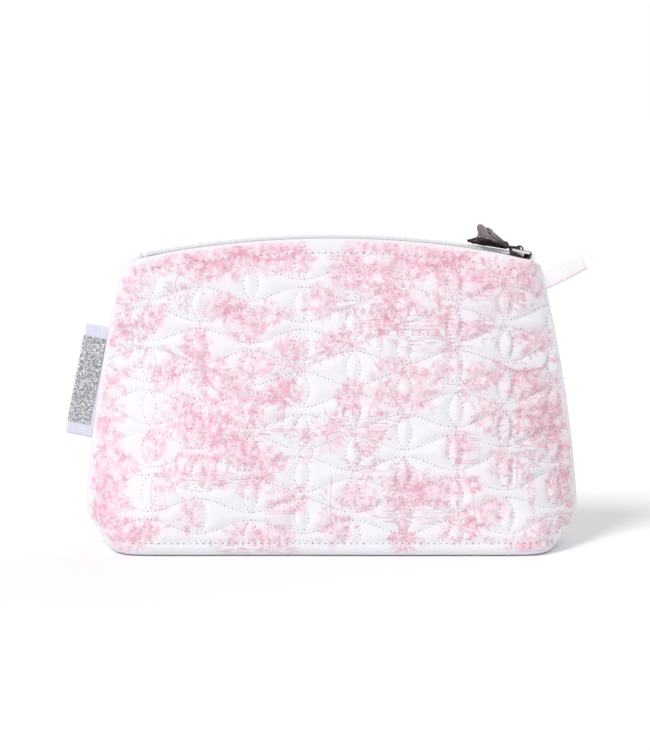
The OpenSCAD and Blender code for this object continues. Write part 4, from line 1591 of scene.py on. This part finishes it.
def add_mesh_of(target, source, matrix=None):
    """Adds a bmesh to another one and frees it."""
    if matrix is not None:
        bmesh.ops.transform(source, matrix=matrix, verts=source.verts)
    mesh = bpy.data.meshes.new("part")
    source.to_mesh(mesh)
    source.free()
    target.from_mesh(mesh)
    bpy.data.meshes.remove(mesh)


class BAG_OT_pull(bpy.types.Operator):
    """Make the butterfly pull and the eye that hangs it from the slider"""

    bl_idname = "bag.pull"
    bl_label = "Butterfly Pull"

    def execute(self, context):
        pull = bmesh.new()
        for way in (1, -1):
            lift = Matrix.Rotation(way * WING_LIFT, 4, "X")
            add_mesh_of(pull, wing(), lift @ Matrix.Diagonal((1, way, 1, 1)))
        body = bmesh.new()
        rings = [(0.0, 0.02), (0.3, 0.5)]
        for i in range(7):
            x = 0.8 + 1.25 * i
            rings += [(x, 0.74), (x + 0.85, 0.78), (x + 1.05, 0.6)]
        rings += [
            (10.2, 0.88), (12.6, 0.9), (14.4, 0.8), (15.2, 0.6), (16.0, 0.8), (17.2, 0.75), (18.2, 0.3),
            (18.6, 0.02),
        ]
        lathe(body, rings)
        add_mesh_of(pull, body)
        # Painted highlight on the wings' upper faces; the body and the eye get none.
        painted_highlight = wing_painted_highlight(np.array([vert.co for vert in pull.verts]))
        turn = Matrix.Rotation(PULL_ROLL, 4, "X")
        place = Matrix.Translation((-NECK - 0.4, 0, -BODY_DROP)) @ Matrix.Diagonal((-1, 1, 1, 1)) @ turn
        bmesh.ops.transform(pull, matrix=place, verts=pull.verts)
        arm = [(-0.2, 1.95, 0), (-2.6, 1.95, 0), (-4.4, 1.8, -0.1), (-5.4, 1.1, -0.5), (-5.9, 0, -BODY_DROP)]
        eye = [(0, y, 0) for y in np.linspace(-1.9, 1.9, 5)] + arm
        eye += [(x, -y, z) for x, y, z in arm[-2::-1]]
        wire(pull, eye, 0.4, sides=3, closed=True)
        bmesh.ops.recalc_face_normals(pull, faces=pull.faces)
        pivot = Matrix.Translation((-0.5 * MM, 0, EYE_UP * MM)) @ Matrix.Rotation(-PULL_DIP, 4, "Y")
        bmesh.ops.transform(pull, matrix=slider_frame() @ pivot @ Matrix.Scale(MM, 4), verts=pull.verts)
        # Near-black metal as a painted dark reflection, with the wings' painted highlight mixed in.
        finish = metal_finish("dark_nickel", tuple(colours().metal), 0.3, polished=(0.42, 0.36, 0.38))
        piece = add_piece("butterfly", pull, finish, 40)
        count = len(piece.data.vertices)
        paint(piece, "painted_highlight", np.concatenate([painted_highlight, np.zeros(count - len(painted_highlight))]))
        declare(piece, "dark_nickel", "pull", "butterfly_pull")
        return {"FINISHED"}


# ---- Stage -------------------------------------------------------------------------------------------


def soft_sun(name, toward, power, spread):
    """A sun that shines from a direction, as wide across as a large softbox."""
    data = bpy.data.lights.new(name, "SUN")
    data.energy = power
    data.angle = math.radians(spread)
    light = bpy.data.objects.new(name, data)
    light.rotation_euler = Vector(toward).to_track_quat("Z", "Y").to_euler()
    bpy.context.scene.collection.objects.link(light)


def white_studio(scene, ambient):
    """A white backdrop that lights the bag less than it shows."""
    world = bpy.data.worlds.new("studio")
    world.use_nodes = True
    tree = world.node_tree
    shown = tree.nodes["Background"]
    lit = tree.nodes.new("ShaderNodeBackground")
    for background, strength in ((shown, 1.0), (lit, ambient)):
        background.inputs["Color"].default_value = (1, 1, 1, 1)
        background.inputs["Strength"].default_value = strength
    pick = tree.nodes.new("ShaderNodeMixShader")
    tree.links.new(tree.nodes.new("ShaderNodeLightPath").outputs["Is Camera Ray"], pick.inputs[0])
    tree.links.new(lit.outputs[0], pick.inputs[1])
    tree.links.new(shown.outputs[0], pick.inputs[2])
    tree.links.new(pick.outputs[0], tree.nodes["World Output"].inputs["Surface"])
    scene.world = world


class BAG_OT_stage(bpy.types.Operator):
    """Set the pale floor, the soft lights and the camera"""

    bl_idname = "bag.stage"
    bl_label = "Stage"

    def execute(self, context):
        scene = context.scene
        bm = bmesh.new()
        bmesh.ops.create_grid(bm, x_segments=4, y_segments=4, size=6)
        finish = Finish("pale_floor", (0.94, 0.94, 0.95), 0.9)
        cloudy = finish.blend(finish.noise(3, 2), (0.93, 0.93, 0.94), (0.96, 0.96, 0.97))
        finish.drive("Base Color", cloudy)
        add_piece("floor", bm, finish.material)

        white_studio(scene, ambient=0.62)
        soft_sun("key", (-0.6, -0.62, 0.95), 1.62, 20)
        soft_sun("back_fill", (0.5, 0.8, 0.7), 0.45, 60)

        camera = bpy.data.objects.new("camera", bpy.data.cameras.new("camera"))
        camera.data.lens = 120
        camera.data.sensor_width = 36
        camera.data.clip_start = 0.05
        elevation = math.radians(8)
        away = Vector((0, -math.cos(elevation), math.sin(elevation))) * 1.2
        aim = Vector((-3.2, 0, 81.6)) * MM
        camera.location = aim + away
        camera.rotation_euler = (-away).to_track_quat("-Z", "Y").to_euler()
        scene.collection.objects.link(camera)
        scene.camera = camera
        scene.view_settings.view_transform = "Standard"
        return {"FINISHED"}


# ---- Add-on ------------------------------------------------------------------------------------------

OPERATORS = (
    BAG_OT_stage, BAG_OT_panels, BAG_OT_base, BAG_OT_lining, BAG_OT_quilting, BAG_OT_edge_stitching,
    BAG_OT_print, BAG_OT_bindings, BAG_OT_label, BAG_OT_loop, BAG_OT_zip_tapes, BAG_OT_zip_coils, BAG_OT_stops,
    BAG_OT_slider, BAG_OT_pull,
)


class BAG_PT_bag(bpy.types.Panel):
    """The bag's sizes and colours, and the operators that build it"""

    bl_label = "Makeup Bag"
    bl_space_type = "VIEW_3D"
    bl_region_type = "UI"
    bl_category = "Makeup Bag"

    def draw(self, context):
        column = self.layout.column()
        for group in (context.scene.bag_sizes, context.scene.bag_colours):
            for name in group.__annotations__:
                column.prop(group, name)
        for operator in OPERATORS:
            column.operator(operator.bl_idname)


CLASSES = (BagSizes, BagColours, *OPERATORS, BAG_PT_bag)


def register():
    for cls in CLASSES:
        bpy.utils.register_class(cls)
    bpy.types.Scene.bag_sizes = bpy.props.PointerProperty(type=BagSizes)
    bpy.types.Scene.bag_colours = bpy.props.PointerProperty(type=BagColours)


def unregister():
    del bpy.types.Scene.bag_colours
    del bpy.types.Scene.bag_sizes
    for cls in reversed(CLASSES):
        bpy.utils.unregister_class(cls)


def main():
    register()
    for operator in OPERATORS:
        group, name = operator.bl_idname.split(".")
        getattr(getattr(bpy.ops, group), name)()


if __name__ == "__main__":
    main()
